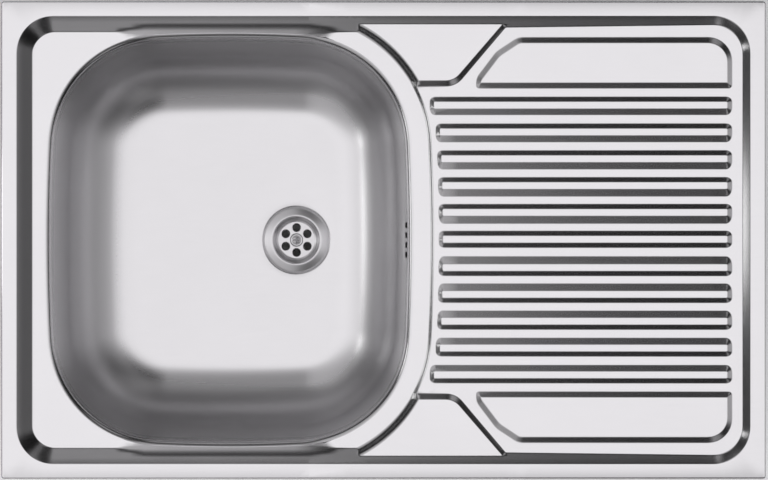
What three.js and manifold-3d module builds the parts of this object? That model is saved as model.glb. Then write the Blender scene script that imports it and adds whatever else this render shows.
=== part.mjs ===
// Inset stainless steel kitchen sink with one bowl, a ribbed drainer and two tap lands, with its
// worktop clamps, its grated waste and its overflow. Millimetres. The origin is the middle of the
// rim in the plane of the worktop, +X runs towards the drainer, +Y to the back and +Z up.
import * as THREE from 'three';
import { mergeVertices } from 'three/addons/utils/BufferGeometryUtils.js';
import Module from 'manifold-3d';

const wasm = await Module();
wasm.setup();

// Rim and sheet
const SINK_LENGTH = 800;
const SINK_WIDTH = 500;
const SHEET = 0.8;
const RIM_HEIGHT = 5;
const RIM_FLAT = 16;
const RIM_CORNER_RADIUS = 3;
const RIM_EDGE_RADIUS = 1.8;
const LIP_CLEARANCE = 0.2;
const RECESS_CORNER_RADIUS = 39;
const RECESS_WALL_RUN = 1.15; // sideways run of the recess wall for each millimetre it falls

// Levels, measured down from the rim
const TAP_LAND_DROP = 6.7;
const DRAINER_END_DROP = 7;
const DRAINER_BOWL_DROP = 10.3;
const STRIP_DROP = 13.5;

// Bowl, the sloping strip round it and its floor
const BOWL_LENGTH = 378.8;
const BOWL_SIDE_MARGIN = 16.9; // from the foot of the recess wall to the bowl's left side
const BOWL_END_MARGIN = 6; // from the foot of the recess wall to the bowl, front and back
const BOWL_CORNER_RADIUS = 115;
const BOWL_SIDE_BOW_RADIUS = 2100;
const BOWL_END_BOW_RADIUS = 1900;
const BOWL_DEPTH = 155;
const BOWL_DRAFT_DEG = 7;
const BOWL_MOUTH_RADIUS = 6;
const MOUTH_OVERCUT_SHARE = 0.2; // of the mouth bend's first facet, by which it is cut on above
const BOWL_FLOOR_RADIUS = 68;
const FLOOR_RADIUS_CORNER_SHARE = 0.75; // of the corner radius, at most
const FLOOR_RADIUS_DEPTH_SHARE = 0.7; // of the wall's depth, at most
const BOWL_FLOOR_FALL = 5;
const BOWL_FLOOR_TILT = 4; // the part of that fall that the floor's edge has from left to right
const STRIP_WIDTH = 21.5;

// Pressed forms of the drainer
const PRESS_RUN = 1.67; // sideways run of a pressed flank for each millimetre it rises
const FLANK_ROOT_SHARE = 0.36; // of a flank's height, by which it goes on below its foot
const RIB_COUNT = 11;
const RIB_WIDTH = 18.8;
const RIB_HEIGHT = 3.3;
const RIB_END_RADIUS = 4;
const RIB_END_MARGIN = 10.5;
const RIB_STRIP_GAP = 2.9;
const PANEL_WIDTH = 53.1;
const PANEL_MARGIN = 10.5;
const PANEL_RIB_GAP = 9.2;
const PANEL_BOWL_GAP = 68.8;
const PANEL_OUTER_RADIUS = 27;
// The panel's curved left side, from the back: across it, along it and the radius there, each as a
// share of its width.
const PANEL_CURVE = [[0.85, 1, 0.3], [0.414, 0.714, 0.5], [0.028, 0.205, 0.3]];
const TAP_LAND_WIDTH = 67;
const TAP_LAND_BOWL_REACH = 46.4;
const TAP_LAND_SPLAY = 51.2;
const TAP_LAND_CORNER_RADIUS = 10;
const TAP_LAND_HIDDEN_RADIUS = 1; // at its corners inside the recess wall and the strip

// Waste outlet in the bowl floor
const WASTE_OFFSET = 66.4; // from the middle of the bowl towards the drainer
const WASTE_HOLE_DIAMETER = 52;
const WASTE_SEAT_DIAMETER = 74;
const WASTE_SEAT_DROP = 3;
const WASTE_SEAT_SLOPE = 5;
const STRAINER_DIAMETER = 70;
const STRAINER_CUP_DIAMETER = 49.5;
const STRAINER_PLATE_DIAMETER = 40;
const STRAINER_PLATE_DROP = 7;
const STRAINER_SHEET = 1;
const STRAINER_LIP_RUN = 3; // from the cup to the flange's flat
const STRAINER_EDGE_RUN = 1.5;
const STRAINER_HOLE_COUNT = 6;
const STRAINER_HOLE_DIAMETER = 8.5;
const STRAINER_HOLE_CIRCLE = 27.5;
const DIMPLE_RUN = 1;
const WASTE_SCREW_DIAMETER = 6;
const WASTE_SCREW_HEAD = 11;
const WASTE_SCREW_HEAD_HEIGHT = 2.4;
const WASTE_SCREW_HEAD_CHAMFER = 1.2;
const WASTE_SCREW_LENGTH = 30;
const SCREW_TIP_LENGTH = 1;
const SCREW_TIP_INSET = 0.5;
const UPPER_SEAL_THICKNESS = 1.2;
const GASKET_THICKNESS = 3;
const GASKET_DIAMETER = 75;
const WASTE_FLANGE_DIAMETER = 78;
const WASTE_FLANGE_THICKNESS = 4;
const WASTE_CUP_DIAMETER = 58;
const WASTE_CUP_DEPTH = 30;
const WASTE_TAIL_DIAMETER = 47.8;
const WASTE_TAIL_LENGTH = 28;
const WASTE_WALL = 3;
const WASTE_FLANGE_FILLET = 2;
const WASTE_ARM_COUNT = 3;
const WASTE_ARM_THICKNESS = 3;
const WASTE_BOSS_DIAMETER = 17;
const WASTE_NUT_FLATS = 10;
const WASTE_NUT_HEIGHT = 5;
const WASTE_BOSS_FLOOR = 3;
const WASTE_BOSS_SKIRT = 1; // from the nut down to the boss's open end

// Overflow in the bowl wall and its pipe
const SLOT_COUNT = 4;
const SLOT_PITCH = 10.4;
const SLOT_WIDTH = 6;
const SLOT_HEIGHT = 18;
const SLOT_DROP = 28; // from the strip to the middle of the slots
const HOUSING_WIDTH = 58;
const HOUSING_HEIGHT = 36;
const HOUSING_WALL = 2.2;
const HOUSING_CORNER_RADIUS = 9;
const OVERFLOW_GASKET_THICKNESS = 3;
const OVERFLOW_GASKET_BORDER = 5;
const STRAP_WIDTH = 12;
const STRAP_THICKNESS = 1;
const STRAP_FOOT = 9;
const PIPE_DIAMETER = 18;
const PIPE_BORE = 14.6;
const PIPE_BEND_RADIUS = 32;
const PIPE_INSERTION = 9;
const SPIGOT_WALL = 2.4;
const SPIGOT_LENGTH = 16;
const INLET_LENGTH = 20;
const UNION_SEAL_LENGTH = 3;
const UNION_NUT_WALL = 2.6;
const UNION_NUT_GRIP = 9;
const UNION_NUT_RIB_COUNT = 8;
const UNION_NUT_WALL_CLEARANCE = 1.5;

// Worktop clamps
const CLAMP_SPACING = 480;
const CLAMP_AXIS_INSET = 8; // from the top edge of the recess to the screw
const CLAMP_TAB_DROP = 22; // from the worktop plane to the middle of the bracket's tab
const BRACKET_SHEET = 1.5;
const BRACKET_WIDTH = 22;
const BRACKET_TAB_REACH = 9;
const BRACKET_LEG_OFFSET = 1.9;
const BRACKET_CREST = 0.6; // from the top of the bracket's space to its upper fold
const BRACKET_COLLAR_LENGTH = 3.2;
const BRACKET_COLLAR_WALL = 2;
const CLAMP_SCREW_DIAMETER = 5;
const CLAMP_HEAD_DIAMETER = 10;
const CLAMP_HEAD_HEIGHT = 3.4;
const CLAMP_HEAD_CHAMFER = 1.5;
const CLAMP_SHOULDER_WIDTH = 1.4;
const CLAMP_SHOULDER_HEIGHT = 1.2;
const CLAW_SHEET = 2;
const CLAW_WIDTH = 14;
const CLAW_REACH = 27;
const CLAW_TAIL = 9;
const CLAW_TIP_HEIGHT = 8;
const CLAW_TIP_LEAN = 3;
const CLAW_REST_DROP = 42; // from the worktop plane to the claw's teeth when slack
const CLAW_TOOTH_COUNT = 4;
const CLAW_TOOTH_DEPTH = 1.6;

// Seal under the rim and pad under the bowl
const SEAL_LIP_CLEARANCE = 3;
const SEAL_WIDTH = 9.5;
const PAD_LENGTH = 130;
const PAD_WIDTH = 190;
const PAD_THICKNESS = 2.2;
const PAD_CORNER_RADIUS = 18;
const PAD_WASTE_GAP = 48;

const GAP = 0.3; // between pieces that touch
const RUNNING_GAP = 0.5; // between a screw and a hole it turns in
const BASE_Z = -320; // below everything, where the solids under a surface start
const OVERCUT = 1; // by which a cutting solid runs past what it cuts
const LEAST_RADIUS = 0.4; // of a rounded corner
const CORNER_SHARE = 0.48; // of a side, that the rounding of one corner may take
const WELD_DISTANCE = 1e-4; // within which two corners of a mesh are one
const QUARTER_HANDLE = 0.5523; // handle of a cubic curve that follows a quarter of a circle

// Levels and places that follow from the sizes above
const RECESS_WALL_ANGLE = Math.atan(1 / RECESS_WALL_RUN);
const STRIP_Z = RIM_HEIGHT - STRIP_DROP;
const TAP_LAND_Z = RIM_HEIGHT - TAP_LAND_DROP;
const RECESS_HALF_LENGTH = SINK_LENGTH / 2 - RIM_FLAT;
const RECESS_HALF_WIDTH = SINK_WIDTH / 2 - RIM_FLAT;
const RIM_UNDERSIDE_Z = RIM_HEIGHT - SHEET;
const STRIP_WALL_RUN = STRIP_DROP * RECESS_WALL_RUN;
const BOWL_WIDTH = 2 * (RECESS_HALF_WIDTH - STRIP_WALL_RUN - BOWL_END_MARGIN);
const BOWL_LEFT = -RECESS_HALF_LENGTH + STRIP_WALL_RUN + BOWL_SIDE_MARGIN;
const BOWL_RIGHT = BOWL_LEFT + BOWL_LENGTH;
const BOWL_X = (BOWL_LEFT + BOWL_RIGHT) / 2;
const WASTE_X = BOWL_X + WASTE_OFFSET;
const BOWL_DRAFT = THREE.MathUtils.degToRad(BOWL_DRAFT_DEG);
const DRAINER_END_X = RECESS_HALF_LENGTH - DRAINER_END_DROP * RECESS_WALL_RUN;
const RIB_END_X = DRAINER_END_X - RIB_END_MARGIN;
const DRAINER_FOOT_Y = RECESS_HALF_WIDTH - DRAINER_BOWL_DROP * RECESS_WALL_RUN;
const PANEL_OUTER_Y = DRAINER_FOOT_Y - PANEL_MARGIN + 0.5 * RECESS_WALL_RUN;
const PANEL_INNER_Y = PANEL_OUTER_Y - PANEL_WIDTH;
const RIB_HALF_SPAN = PANEL_INNER_Y - PANEL_RIB_GAP;
const RIB_PITCH = (2 * RIB_HALF_SPAN - RIB_WIDTH) / (RIB_COUNT - 1);
const WASTE_SEAT_Z = STRIP_Z - BOWL_DEPTH - WASTE_SEAT_DROP;

const steel = { color: 0xd4d4d6, roughness: 0.32, metalness: 1 };
const polishedSteel = { color: 0xd8d8da, roughness: 0.2, metalness: 1 };
const zincPlate = { color: 0xb9bcc0, roughness: 0.42, metalness: 1 };
const brass = { color: 0xb08d4a, roughness: 0.4, metalness: 1 };
const whitePlastic = { color: 0xe9e9e6, roughness: 0.5, metalness: 0 };
const blackRubber = { color: 0x1c1c1e, roughness: 0.85, metalness: 0 };
const greyFoam = { color: 0x4a4b4e, roughness: 0.95, metalness: 0 };

const object = new THREE.Group();

// ---------------------------------------------------------------- solids and outlines

function toManifold(geometry) {
  const bare = geometry.clone();
  bare.deleteAttribute('normal');
  bare.deleteAttribute('uv');
  const merged = mergeVertices(bare, WELD_DISTANCE);
  return new wasm.Manifold(new wasm.Mesh({
    numProp: 3,
    vertProperties: new Float32Array(merged.attributes.position.array),
    triVerts: new Uint32Array(merged.index.array),
  }));
}

function toGeometry(solid) {
  const mesh = solid.getMesh();
  const geometry = new THREE.BufferGeometry();
  geometry.setAttribute('position', new THREE.BufferAttribute(mesh.vertProperties.slice(), 3));
  geometry.setIndex(new THREE.BufferAttribute(mesh.triVerts.slice(), 1));
  geometry.computeVertexNormals();
  return geometry;
}

const joined = (first, ...others) => others.reduce((sum, next) => sum.add(next), first);
const cut = (first, ...others) => others.reduce((rest, next) => rest.subtract(next), first);

function addMesh(name, shape, look, parent = object) {
  const geometry = shape.isBufferGeometry ? shape : toGeometry(shape);
  const mesh = new THREE.Mesh(geometry, new THREE.MeshStandardMaterial(look));
  mesh.name = name;
  parent.add(mesh);
  return mesh;
}

function arcPoints(centreX, centreY, radius, from, to, steps) {
  return Array.from({ length: steps + 1 }, (_, i) => {
    const angle = from + (to - from) * i / steps;
    return [centreX + radius * Math.cos(angle), centreY + radius * Math.sin(angle)];
  });
}

function roundedRectangle(halfLength, halfWidth, radius, steps = 5, centreX = 0, centreY = 0) {
  const r = Math.max(radius, LEAST_RADIUS);
  const quarter = Math.PI / 2;
  const corners = [[1, 1], [-1, 1], [-1, -1], [1, -1]];
  return corners.flatMap(([sideX, sideY], i) => arcPoints(
    centreX + sideX * (halfLength - r), centreY + sideY * (halfWidth - r), r,
    i * quarter, (i + 1) * quarter, steps,
  ));
}

// Moves every side of a polygon, given as counter-clockwise corners [x, y, radius], inwards.
function insetCorners(corners, inset) {
  const count = corners.length;
  const sides = corners.map(([x, y], i) => {
    const [nextX, nextY] = corners[(i + 1) % count];
    const length = Math.hypot(nextX - x, nextY - y);
    const direction = [(nextX - x) / length, (nextY - y) / length];
    return { point: [x - direction[1] * inset, y + direction[0] * inset], direction };
  });
  return corners.map(([, , radius], i) => {
    const before = sides[(i + count - 1) % count];
    const after = sides[i];
    const cross = before.direction[0] * after.direction[1] - before.direction[1] * after.direction[0];
    const gapX = after.point[0] - before.point[0];
    const gapY = after.point[1] - before.point[1];
    const along = (gapX * after.direction[1] - gapY * after.direction[0]) / cross;
    const x = before.point[0] + before.direction[0] * along;
    const y = before.point[1] + before.direction[1] * along;
    return [x, y, Math.max(radius - Math.sign(cross) * inset, LEAST_RADIUS)];
  });
}

// Rounds the corners of a polygon, each with its own radius, by an arc of a few steps.
function roundedPolygon(corners, steps = 3) {
  const count = corners.length;
  return corners.flatMap(([x, y, radius], i) => {
    const [beforeX, beforeY] = corners[(i + count - 1) % count];
    const [afterX, afterY] = corners[(i + 1) % count];
    const before = new THREE.Vector2(beforeX - x, beforeY - y);
    const after = new THREE.Vector2(afterX - x, afterY - y);
    const half = Math.acos(before.clone().normalize().dot(after.clone().normalize())) / 2;
    const room = Math.min(before.length(), after.length()) * CORNER_SHARE;
    const tangent = Math.min(radius / Math.tan(half), room);
    const r = tangent * Math.tan(half);
    const middle = before.clone().normalize().add(after.clone().normalize()).normalize();
    const centre = middle.multiplyScalar(r / Math.sin(half)).add(new THREE.Vector2(x, y));
    const from = new THREE.Vector2(x, y).addScaledVector(before.normalize(), tangent).sub(centre);
    const to = new THREE.Vector2(x, y).addScaledVector(after.normalize(), tangent).sub(centre);
    const turn = Math.atan2(from.x * to.y - from.y * to.x, from.dot(to));
    return arcPoints(centre.x, centre.y, r, from.angle(), from.angle() + turn, steps);
  });
}

// Skins rings of equally many points, listed from the lowest up, and closes both ends. A ring takes
// its share of the lift.
function loft(rings, lift = () => 0) {
  const count = rings[0].points.length;
  const vertices = rings.flatMap(({ points, z, share = 1 }) => (
    points.flatMap(([x, y]) => [x, y, z + share * lift(x, y)])
  ));
  const faces = [];
  rings.slice(1).forEach((_, level) => {
    for (let i = 0; i < count; i += 1) {
      const a = level * count + i;
      const b = level * count + (i + 1) % count;
      faces.push(a, b, b + count, a, b + count, a + count);
    }
  });
  const flat = (ring) => ring.points.map(([x, y]) => new THREE.Vector2(x, y));
  const top = (rings.length - 1) * count;
  THREE.ShapeUtils.triangulateShape(flat(rings[0]), []).forEach(([a, b, c]) => faces.push(a, c, b));
  THREE.ShapeUtils.triangulateShape(flat(rings.at(-1)), [])
    .forEach(([a, b, c]) => faces.push(top + a, top + b, top + c));
  const geometry = new THREE.BufferGeometry();
  geometry.setAttribute('position', new THREE.Float32BufferAttribute(vertices, 3));
  geometry.setIndex(faces);
  return toManifold(geometry);
}

const shapeOf = (points) => new THREE.Shape(points.map(([x, y]) => new THREE.Vector2(x, y)));

function prism(points, from, to, holes = []) {
  const shape = shapeOf(points);
  holes.forEach((hole) => shape.holes.push(shapeOf(hole)));
  const geometry = new THREE.ExtrudeGeometry(shape, { depth: to - from, bevelEnabled: false });
  return geometry.translate(0, 0, from);
}

// Turns a closed profile of points [radius, z] round the Z axis.
function turned(profile, steps = 36) {
  const points = [...profile, profile[0]].map(([radius, z]) => new THREE.Vector2(radius, z));
  return new THREE.LatheGeometry(points, steps).rotateX(Math.PI / 2);
}

// A strip of sheet folded along a line of points, as a closed outline.
function foldedStrip(line, thickness) {
  const side = (sign) => line.map(([x, y], i) => {
    const before = line[i - 1];
    const after = line[i + 1];
    const angleIn = before ? Math.atan2(y - before[1], x - before[0]) : null;
    const angleOut = after ? Math.atan2(after[1] - y, after[0] - x) : null;
    const start = angleIn ?? angleOut;
    let turn = (angleOut ?? angleIn) - start;
    turn -= Math.round(turn / (2 * Math.PI)) * 2 * Math.PI;
    const middle = start + turn / 2 + Math.PI / 2;
    const reach = sign * thickness / 2 / Math.cos(turn / 2);
    return [x + Math.cos(middle) * reach, y + Math.sin(middle) * reach];
  });
  return [...side(-1), ...side(1).reverse()];
}

const circle = (radius, steps = 32, x = 0, y = 0) => (
  arcPoints(x, y, radius, 0, 2 * Math.PI, steps).slice(1)
);

// A hexagon, given by the distance from its middle to a side.
const hexagon = (reach) => circle(reach / Math.cos(Math.PI / 6), 6);

// Shares from 0 to 1 in even steps.
const shares = (steps) => Array.from({ length: steps + 1 }, (_, i) => i / steps);

// ---------------------------------------------------------------- pressed sheet of the sink

// The mouth of the bowl is eight tangent arcs: four bowed sides and four corners. A line parallel
// to it has the same centres, with each radius changed by the inset.
const halfBowl = [BOWL_LENGTH / 2, BOWL_WIDTH / 2];
const sideCentre = halfBowl[0] - BOWL_SIDE_BOW_RADIUS;
const endCentre = halfBowl[1] - BOWL_END_BOW_RADIUS;
const cornerCentre = (() => {
  const fromSide = BOWL_SIDE_BOW_RADIUS - BOWL_CORNER_RADIUS;
  const fromEnd = BOWL_END_BOW_RADIUS - BOWL_CORNER_RADIUS;
  const apart = Math.hypot(sideCentre, endCentre);
  const along = (fromSide ** 2 - fromEnd ** 2 + apart ** 2) / (2 * apart);
  const across = Math.sqrt(fromSide ** 2 - along ** 2);
  const unit = [-sideCentre / apart, endCentre / apart];
  return [sideCentre + unit[0] * along - unit[1] * across, unit[1] * along + unit[0] * across];
})();
const sideAngle = Math.atan2(cornerCentre[1], cornerCentre[0] - sideCentre);
const endAngle = Math.atan2(cornerCentre[1] - endCentre, cornerCentre[0]);

function bowlOutline(inset) {
  const corner = arcPoints(...cornerCentre, BOWL_CORNER_RADIUS - inset, sideAngle, endAngle, 8);
  const side = arcPoints(sideCentre, 0, BOWL_SIDE_BOW_RADIUS - inset, 0, sideAngle, 2).slice(0, -1);
  const end = arcPoints(0, endCentre, BOWL_END_BOW_RADIUS - inset, endAngle, Math.PI / 2, 2).slice(1);
  const quarter = [...side, ...corner, ...end];
  const backLeft = quarter.map(([x, y]) => [-x, y]).reverse().slice(1);
  const front = [...quarter, ...backLeft].map(([x, y]) => [x, -y]).reverse().slice(1, -1);
  return [...quarter, ...backLeft, ...front].map(([x, y]) => [x + BOWL_X, y]);
}

// The right-hand side of a line round the bowl, at a distance outside its mouth.
function bowlRightX(y, outset) {
  const acrossSide = Math.abs(y) / (BOWL_SIDE_BOW_RADIUS + outset);
  if (Math.asin(acrossSide) < sideAngle) {
    return BOWL_X + sideCentre + (BOWL_SIDE_BOW_RADIUS + outset) * Math.sqrt(1 - acrossSide ** 2);
  }
  const rise = Math.abs(y) - cornerCentre[1];
  return BOWL_X + cornerCentre[0] + Math.sqrt((BOWL_CORNER_RADIUS + outset) ** 2 - rise ** 2);
}

// The drainer falls evenly from its end to the strip round the bowl.
const DRAINER_START_X = BOWL_RIGHT + STRIP_WIDTH;
function drainerZ(x) {
  const share = (DRAINER_END_X - x) / (DRAINER_END_X - DRAINER_START_X);
  return RIM_HEIGHT - DRAINER_END_DROP - share * (DRAINER_BOWL_DROP - DRAINER_END_DROP);
}

// A pressed form's flank rises from a root below the level it stands on to the form's own level.
// The sheet's underside lies parallel to it, at the offset.
function pressing(outline, height, offset, lift) {
  const shift = offset * Math.tan(Math.atan(1 / PRESS_RUN) / 2);
  const levels = [-FLANK_ROOT_SHARE * height, height];
  const flank = levels.map((level) => (
    { points: outline(level * PRESS_RUN + shift), z: level - offset }
  ));
  return loft([{ points: flank[0].points, z: BASE_Z }, ...flank], lift);
}

const rimOutline = (inset) => roundedRectangle(
  SINK_LENGTH / 2 - inset, SINK_WIDTH / 2 - inset, RIM_CORNER_RADIUS - inset, 2,
);
const recessOutline = (inset) => roundedRectangle(
  RECESS_HALF_LENGTH - inset, RECESS_HALF_WIDTH - inset, RECESS_CORNER_RADIUS - inset, 6,
);

function rimBlock(offset) {
  const bend = (RIM_EDGE_RADIUS - offset) * Math.SQRT1_2;
  const profile = [
    [offset, BASE_Z],
    [offset, RIM_HEIGHT - RIM_EDGE_RADIUS],
    [RIM_EDGE_RADIUS - bend, RIM_HEIGHT - RIM_EDGE_RADIUS + bend],
    [RIM_EDGE_RADIUS, RIM_HEIGHT - offset],
  ];
  return loft(profile.map(([inset, z]) => ({ points: rimOutline(inset), z })));
}

function recessHollow(offset) {
  const inset = (z) => (RIM_HEIGHT - z) * RECESS_WALL_RUN - offset / Math.sin(RECESS_WALL_ANGLE);
  const levels = [STRIP_Z - offset, RIM_HEIGHT + RIM_FLAT / 3];
  return loft(levels.map((z) => ({ points: recessOutline(inset(z)), z })));
}

function stripHollow(offset) {
  const angle = Math.atan(1 / PRESS_RUN);
  const outset = (z) => STRIP_WIDTH + (z - STRIP_Z) * PRESS_RUN + offset / Math.sin(angle);
  const levels = [STRIP_Z - STRIP_DROP / 2, RIM_HEIGHT + OVERCUT];
  return loft(levels.map((z) => ({ points: bowlOutline(-outset(z)), z })));
}

function drainerBlock(offset) {
  const halfLength = (SINK_LENGTH / 2 - BOWL_X) / 2;
  const points = roundedRectangle(halfLength, SINK_WIDTH / 2, LEAST_RADIUS, 1, BOWL_X + halfLength, 0);
  return loft([{ points, z: BASE_Z }, { points, z: 0 }], (x) => drainerZ(x) - offset);
}

function rib(index, offset) {
  const y = (index - (RIB_COUNT - 1) / 2) * RIB_PITCH;
  const rise = DRAINER_BOWL_DROP - DRAINER_END_DROP;
  const left = bowlRightX(y, STRIP_WIDTH + rise * PRESS_RUN) + RIB_STRIP_GAP;
  const footRadius = RIB_END_RADIUS + RIB_HEIGHT * PRESS_RUN / 2;
  const outline = (inset) => roundedRectangle(
    (RIB_END_X - left) / 2 - inset, RIB_WIDTH / 2 - inset,
    footRadius - inset, 2, (left + RIB_END_X) / 2, y,
  );
  return pressing(outline, RIB_HEIGHT, offset, drainerZ);
}

function mirroredFront(points) {
  return points.map(([x, y, radius]) => [x, -y, radius]).reverse();
}

function panel(side, offset) {
  const left = BOWL_RIGHT + PANEL_BOWL_GAP;
  const curve = PANEL_CURVE.map(([across, along, radius]) => [
    left + across * PANEL_WIDTH, PANEL_INNER_Y + along * PANEL_WIDTH, radius * PANEL_WIDTH,
  ]);
  const corners = [
    [RIB_END_X, PANEL_INNER_Y, RIB_END_RADIUS],
    [RIB_END_X, PANEL_OUTER_Y, PANEL_OUTER_RADIUS],
    ...curve,
    [left, PANEL_INNER_Y, RIB_END_RADIUS],
  ];
  const placed = side > 0 ? corners : mirroredFront(corners);
  return pressing((inset) => roundedPolygon(insetCorners(placed, inset)), RIB_HEIGHT, offset, drainerZ);
}

function tapLand(side, offset) {
  const inner = RECESS_HALF_WIDTH - TAP_LAND_WIDTH;
  const right = BOWL_RIGHT + TAP_LAND_BOWL_REACH;
  const outer = RECESS_HALF_WIDTH + RIM_FLAT / 2;
  const splay = TAP_LAND_SPLAY / (TAP_LAND_WIDTH - TAP_LAND_DROP * RECESS_WALL_RUN);
  const corners = [
    [BOWL_RIGHT - BOWL_CORNER_RADIUS, inner, TAP_LAND_HIDDEN_RADIUS],
    [right, inner, TAP_LAND_CORNER_RADIUS],
    [right + splay * (outer - inner), outer, TAP_LAND_HIDDEN_RADIUS],
    [BOWL_RIGHT - BOWL_CORNER_RADIUS, outer, TAP_LAND_HIDDEN_RADIUS],
  ];
  const placed = side > 0 ? corners : mirroredFront(corners);
  const height = TAP_LAND_Z - STRIP_Z;
  const outline = (inset) => roundedPolygon(insetCorners(placed, inset - height * PRESS_RUN));
  return pressing(outline, height, offset, () => STRIP_Z);
}

// The bowl's wall in section, [inset, depth, slope, share of the floor's tilt]: the mouth bend, the
// drafted wall and the large bend into the floor.
const steepest = Math.PI / 2 - BOWL_DRAFT;
const floorEdgeDepth = BOWL_DEPTH - BOWL_FLOOR_FALL;
const floorBend = Math.min(
  BOWL_FLOOR_RADIUS,
  BOWL_CORNER_RADIUS * FLOOR_RADIUS_CORNER_SHARE,
  floorEdgeDepth * FLOOR_RADIUS_DEPTH_SHARE,
);
const bowlSection = (() => {
  const mouthTangent = BOWL_MOUTH_RADIUS * Math.tan(steepest / 2);
  const floorTangent = floorBend * Math.tan(steepest / 2);
  const wallFootInset = floorEdgeDepth * Math.tan(BOWL_DRAFT);
  const mouth = shares(3).map((share) => {
    const slope = steepest * share;
    const inset = -mouthTangent + BOWL_MOUTH_RADIUS * Math.sin(slope);
    return [inset, BOWL_MOUTH_RADIUS * (1 - Math.cos(slope)), slope, 0];
  });
  const bendHeight = floorBend * (1 - Math.cos(steepest));
  const floor = shares(5).map((share) => {
    const slope = steepest * (1 - share);
    const inset = wallFootInset + floorTangent - floorBend * Math.sin(slope);
    const height = floorBend * (1 - Math.cos(slope));
    return [inset, floorEdgeDepth - height, slope, 1 - height / bendHeight];
  });
  return [...mouth, ...floor];
})();
const floorEdgeInset = bowlSection.at(-1)[0];

// The floor's edge falls evenly from the bowl's left side to its right, beside the waste.
function floorTilt(x) {
  const left = BOWL_LEFT + floorEdgeInset;
  const right = BOWL_RIGHT - floorEdgeInset;
  return -BOWL_FLOOR_TILT * (x - left) / (right - left);
}

function towardsWaste(points, radius) {
  return points.map(([x, y]) => {
    const angle = Math.atan2(y, x - WASTE_X);
    return [WASTE_X + radius * Math.cos(angle), radius * Math.sin(angle)];
  });
}

function bowlHollow(offset) {
  const wall = bowlSection.map(([inset, depth, slope, share]) => ({
    points: bowlOutline(inset - offset * Math.sin(slope)),
    z: STRIP_Z - depth - offset * Math.cos(slope),
    share,
  }));
  const [first, second] = bowlSection;
  const above = {
    points: bowlOutline(first[0] - MOUTH_OVERCUT_SHARE * (second[0] - first[0])),
    z: STRIP_Z - offset + MOUTH_OVERCUT_SHARE * (second[1] - first[1]),
    share: 0,
  };
  const top = { points: above.points, z: RIM_HEIGHT + OVERCUT, share: 0 };
  const middle = {
    points: towardsWaste(bowlOutline(floorEdgeInset), WASTE_HOLE_DIAMETER / 2),
    z: STRIP_Z - BOWL_DEPTH - offset,
    share: 0,
  };
  const rings = [middle, ...wall.reverse(), above, top];
  return joined(loft(rings, floorTilt), wasteSeat(offset));
}

// The round seat pressed into the floor for the strainer's flange.
function wasteSeat(offset) {
  const tilt = offset * Math.tan(Math.atan2(WASTE_SEAT_DROP, WASTE_SEAT_SLOPE) / 2);
  const ring = (height) => {
    const run = height * WASTE_SEAT_SLOPE / WASTE_SEAT_DROP;
    const points = circle(WASTE_SEAT_DIAMETER / 2 + tilt + run, 36, WASTE_X, 0);
    return { points, z: WASTE_SEAT_Z - offset + height };
  };
  return loft([ring(0), ring(WASTE_SEAT_DROP + 2 * OVERCUT)]);
}

function underSurface(offset) {
  const ribs = Array.from({ length: RIB_COUNT }, (_, i) => rib(i, offset));
  const pairs = [1, -1].flatMap((side) => [panel(side, offset), tapLand(side, offset)]);
  const raised = cut(joined(drainerBlock(offset), ...ribs, ...pairs), stripHollow(offset));
  const recess = cut(recessHollow(offset), raised);
  return cut(rimBlock(offset), recess, bowlHollow(offset));
}

// A slab that fills everything below the lip, out past the rim.
function worktopSpace() {
  const reach = RIM_FLAT * 2;
  const points = roundedRectangle(SINK_LENGTH / 2 + reach, SINK_WIDTH / 2 + reach, LEAST_RADIUS, 1);
  return cut(
    loft([{ points, z: BASE_Z - OVERCUT }, { points, z: LIP_CLEARANCE }]),
    recessHollow(SHEET),
    bowlHollow(SHEET),
  );
}

const slotX = (depth) => BOWL_RIGHT - depth * Math.tan(BOWL_DRAFT);

function overflowSlots() {
  const wallX = slotX(SLOT_DROP);
  return Array.from({ length: SLOT_COUNT }, (_, i) => {
    const y = (i - (SLOT_COUNT - 1) / 2) * SLOT_PITCH;
    const outline = roundedRectangle(SLOT_HEIGHT / 2, SLOT_WIDTH / 2, SLOT_WIDTH / 2, 3);
    const solid = prism(outline, -STRIP_WIDTH / 2, STRIP_WIDTH / 2).rotateY(Math.PI / 2);
    return toManifold(solid.translate(wallX, y, STRIP_Z - SLOT_DROP));
  });
}

const wasteBore = toManifold(
  prism(circle(WASTE_HOLE_DIAMETER / 2, 36), BASE_Z, WASTE_SEAT_Z + SHEET).translate(WASTE_X, 0, 0),
);
const belowSheet = joined(underSurface(SHEET), worktopSpace());
addMesh('sink_body', cut(underSurface(0), belowSheet, wasteBore, ...overflowSlots()), steel);

// ---------------------------------------------------------------- seal and pad

const sealOutline = (inset, radius) => roundedRectangle(
  SINK_LENGTH / 2 - inset, SINK_WIDTH / 2 - inset, radius, 3,
);
addMesh('rim_seal', prism(
  sealOutline(SEAL_LIP_CLEARANCE, 2 * RIM_CORNER_RADIUS),
  0,
  RIM_UNDERSIDE_Z - GAP,
  [sealOutline(SEAL_LIP_CLEARANCE + SEAL_WIDTH, RECESS_CORNER_RADIUS / 2).reverse()],
), greyFoam);

const padX = WASTE_X - PAD_WASTE_GAP - PAD_LENGTH / 2;
const padOutline = roundedRectangle(PAD_LENGTH / 2, PAD_WIDTH / 2, PAD_CORNER_RADIUS, 4, padX, 0);
const padBlock = toManifold(prism(padOutline, BASE_Z, STRIP_Z - BOWL_DEPTH / 2));
const padLayer = cut(bowlHollow(SHEET + GAP + PAD_THICKNESS), bowlHollow(SHEET + GAP));
addMesh('bowl_pad', padBlock.intersect(padLayer), blackRubber);

// ---------------------------------------------------------------- waste

const waste = new THREE.Group();
waste.position.set(WASTE_X, 0, WASTE_SEAT_Z);
object.add(waste);

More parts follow.
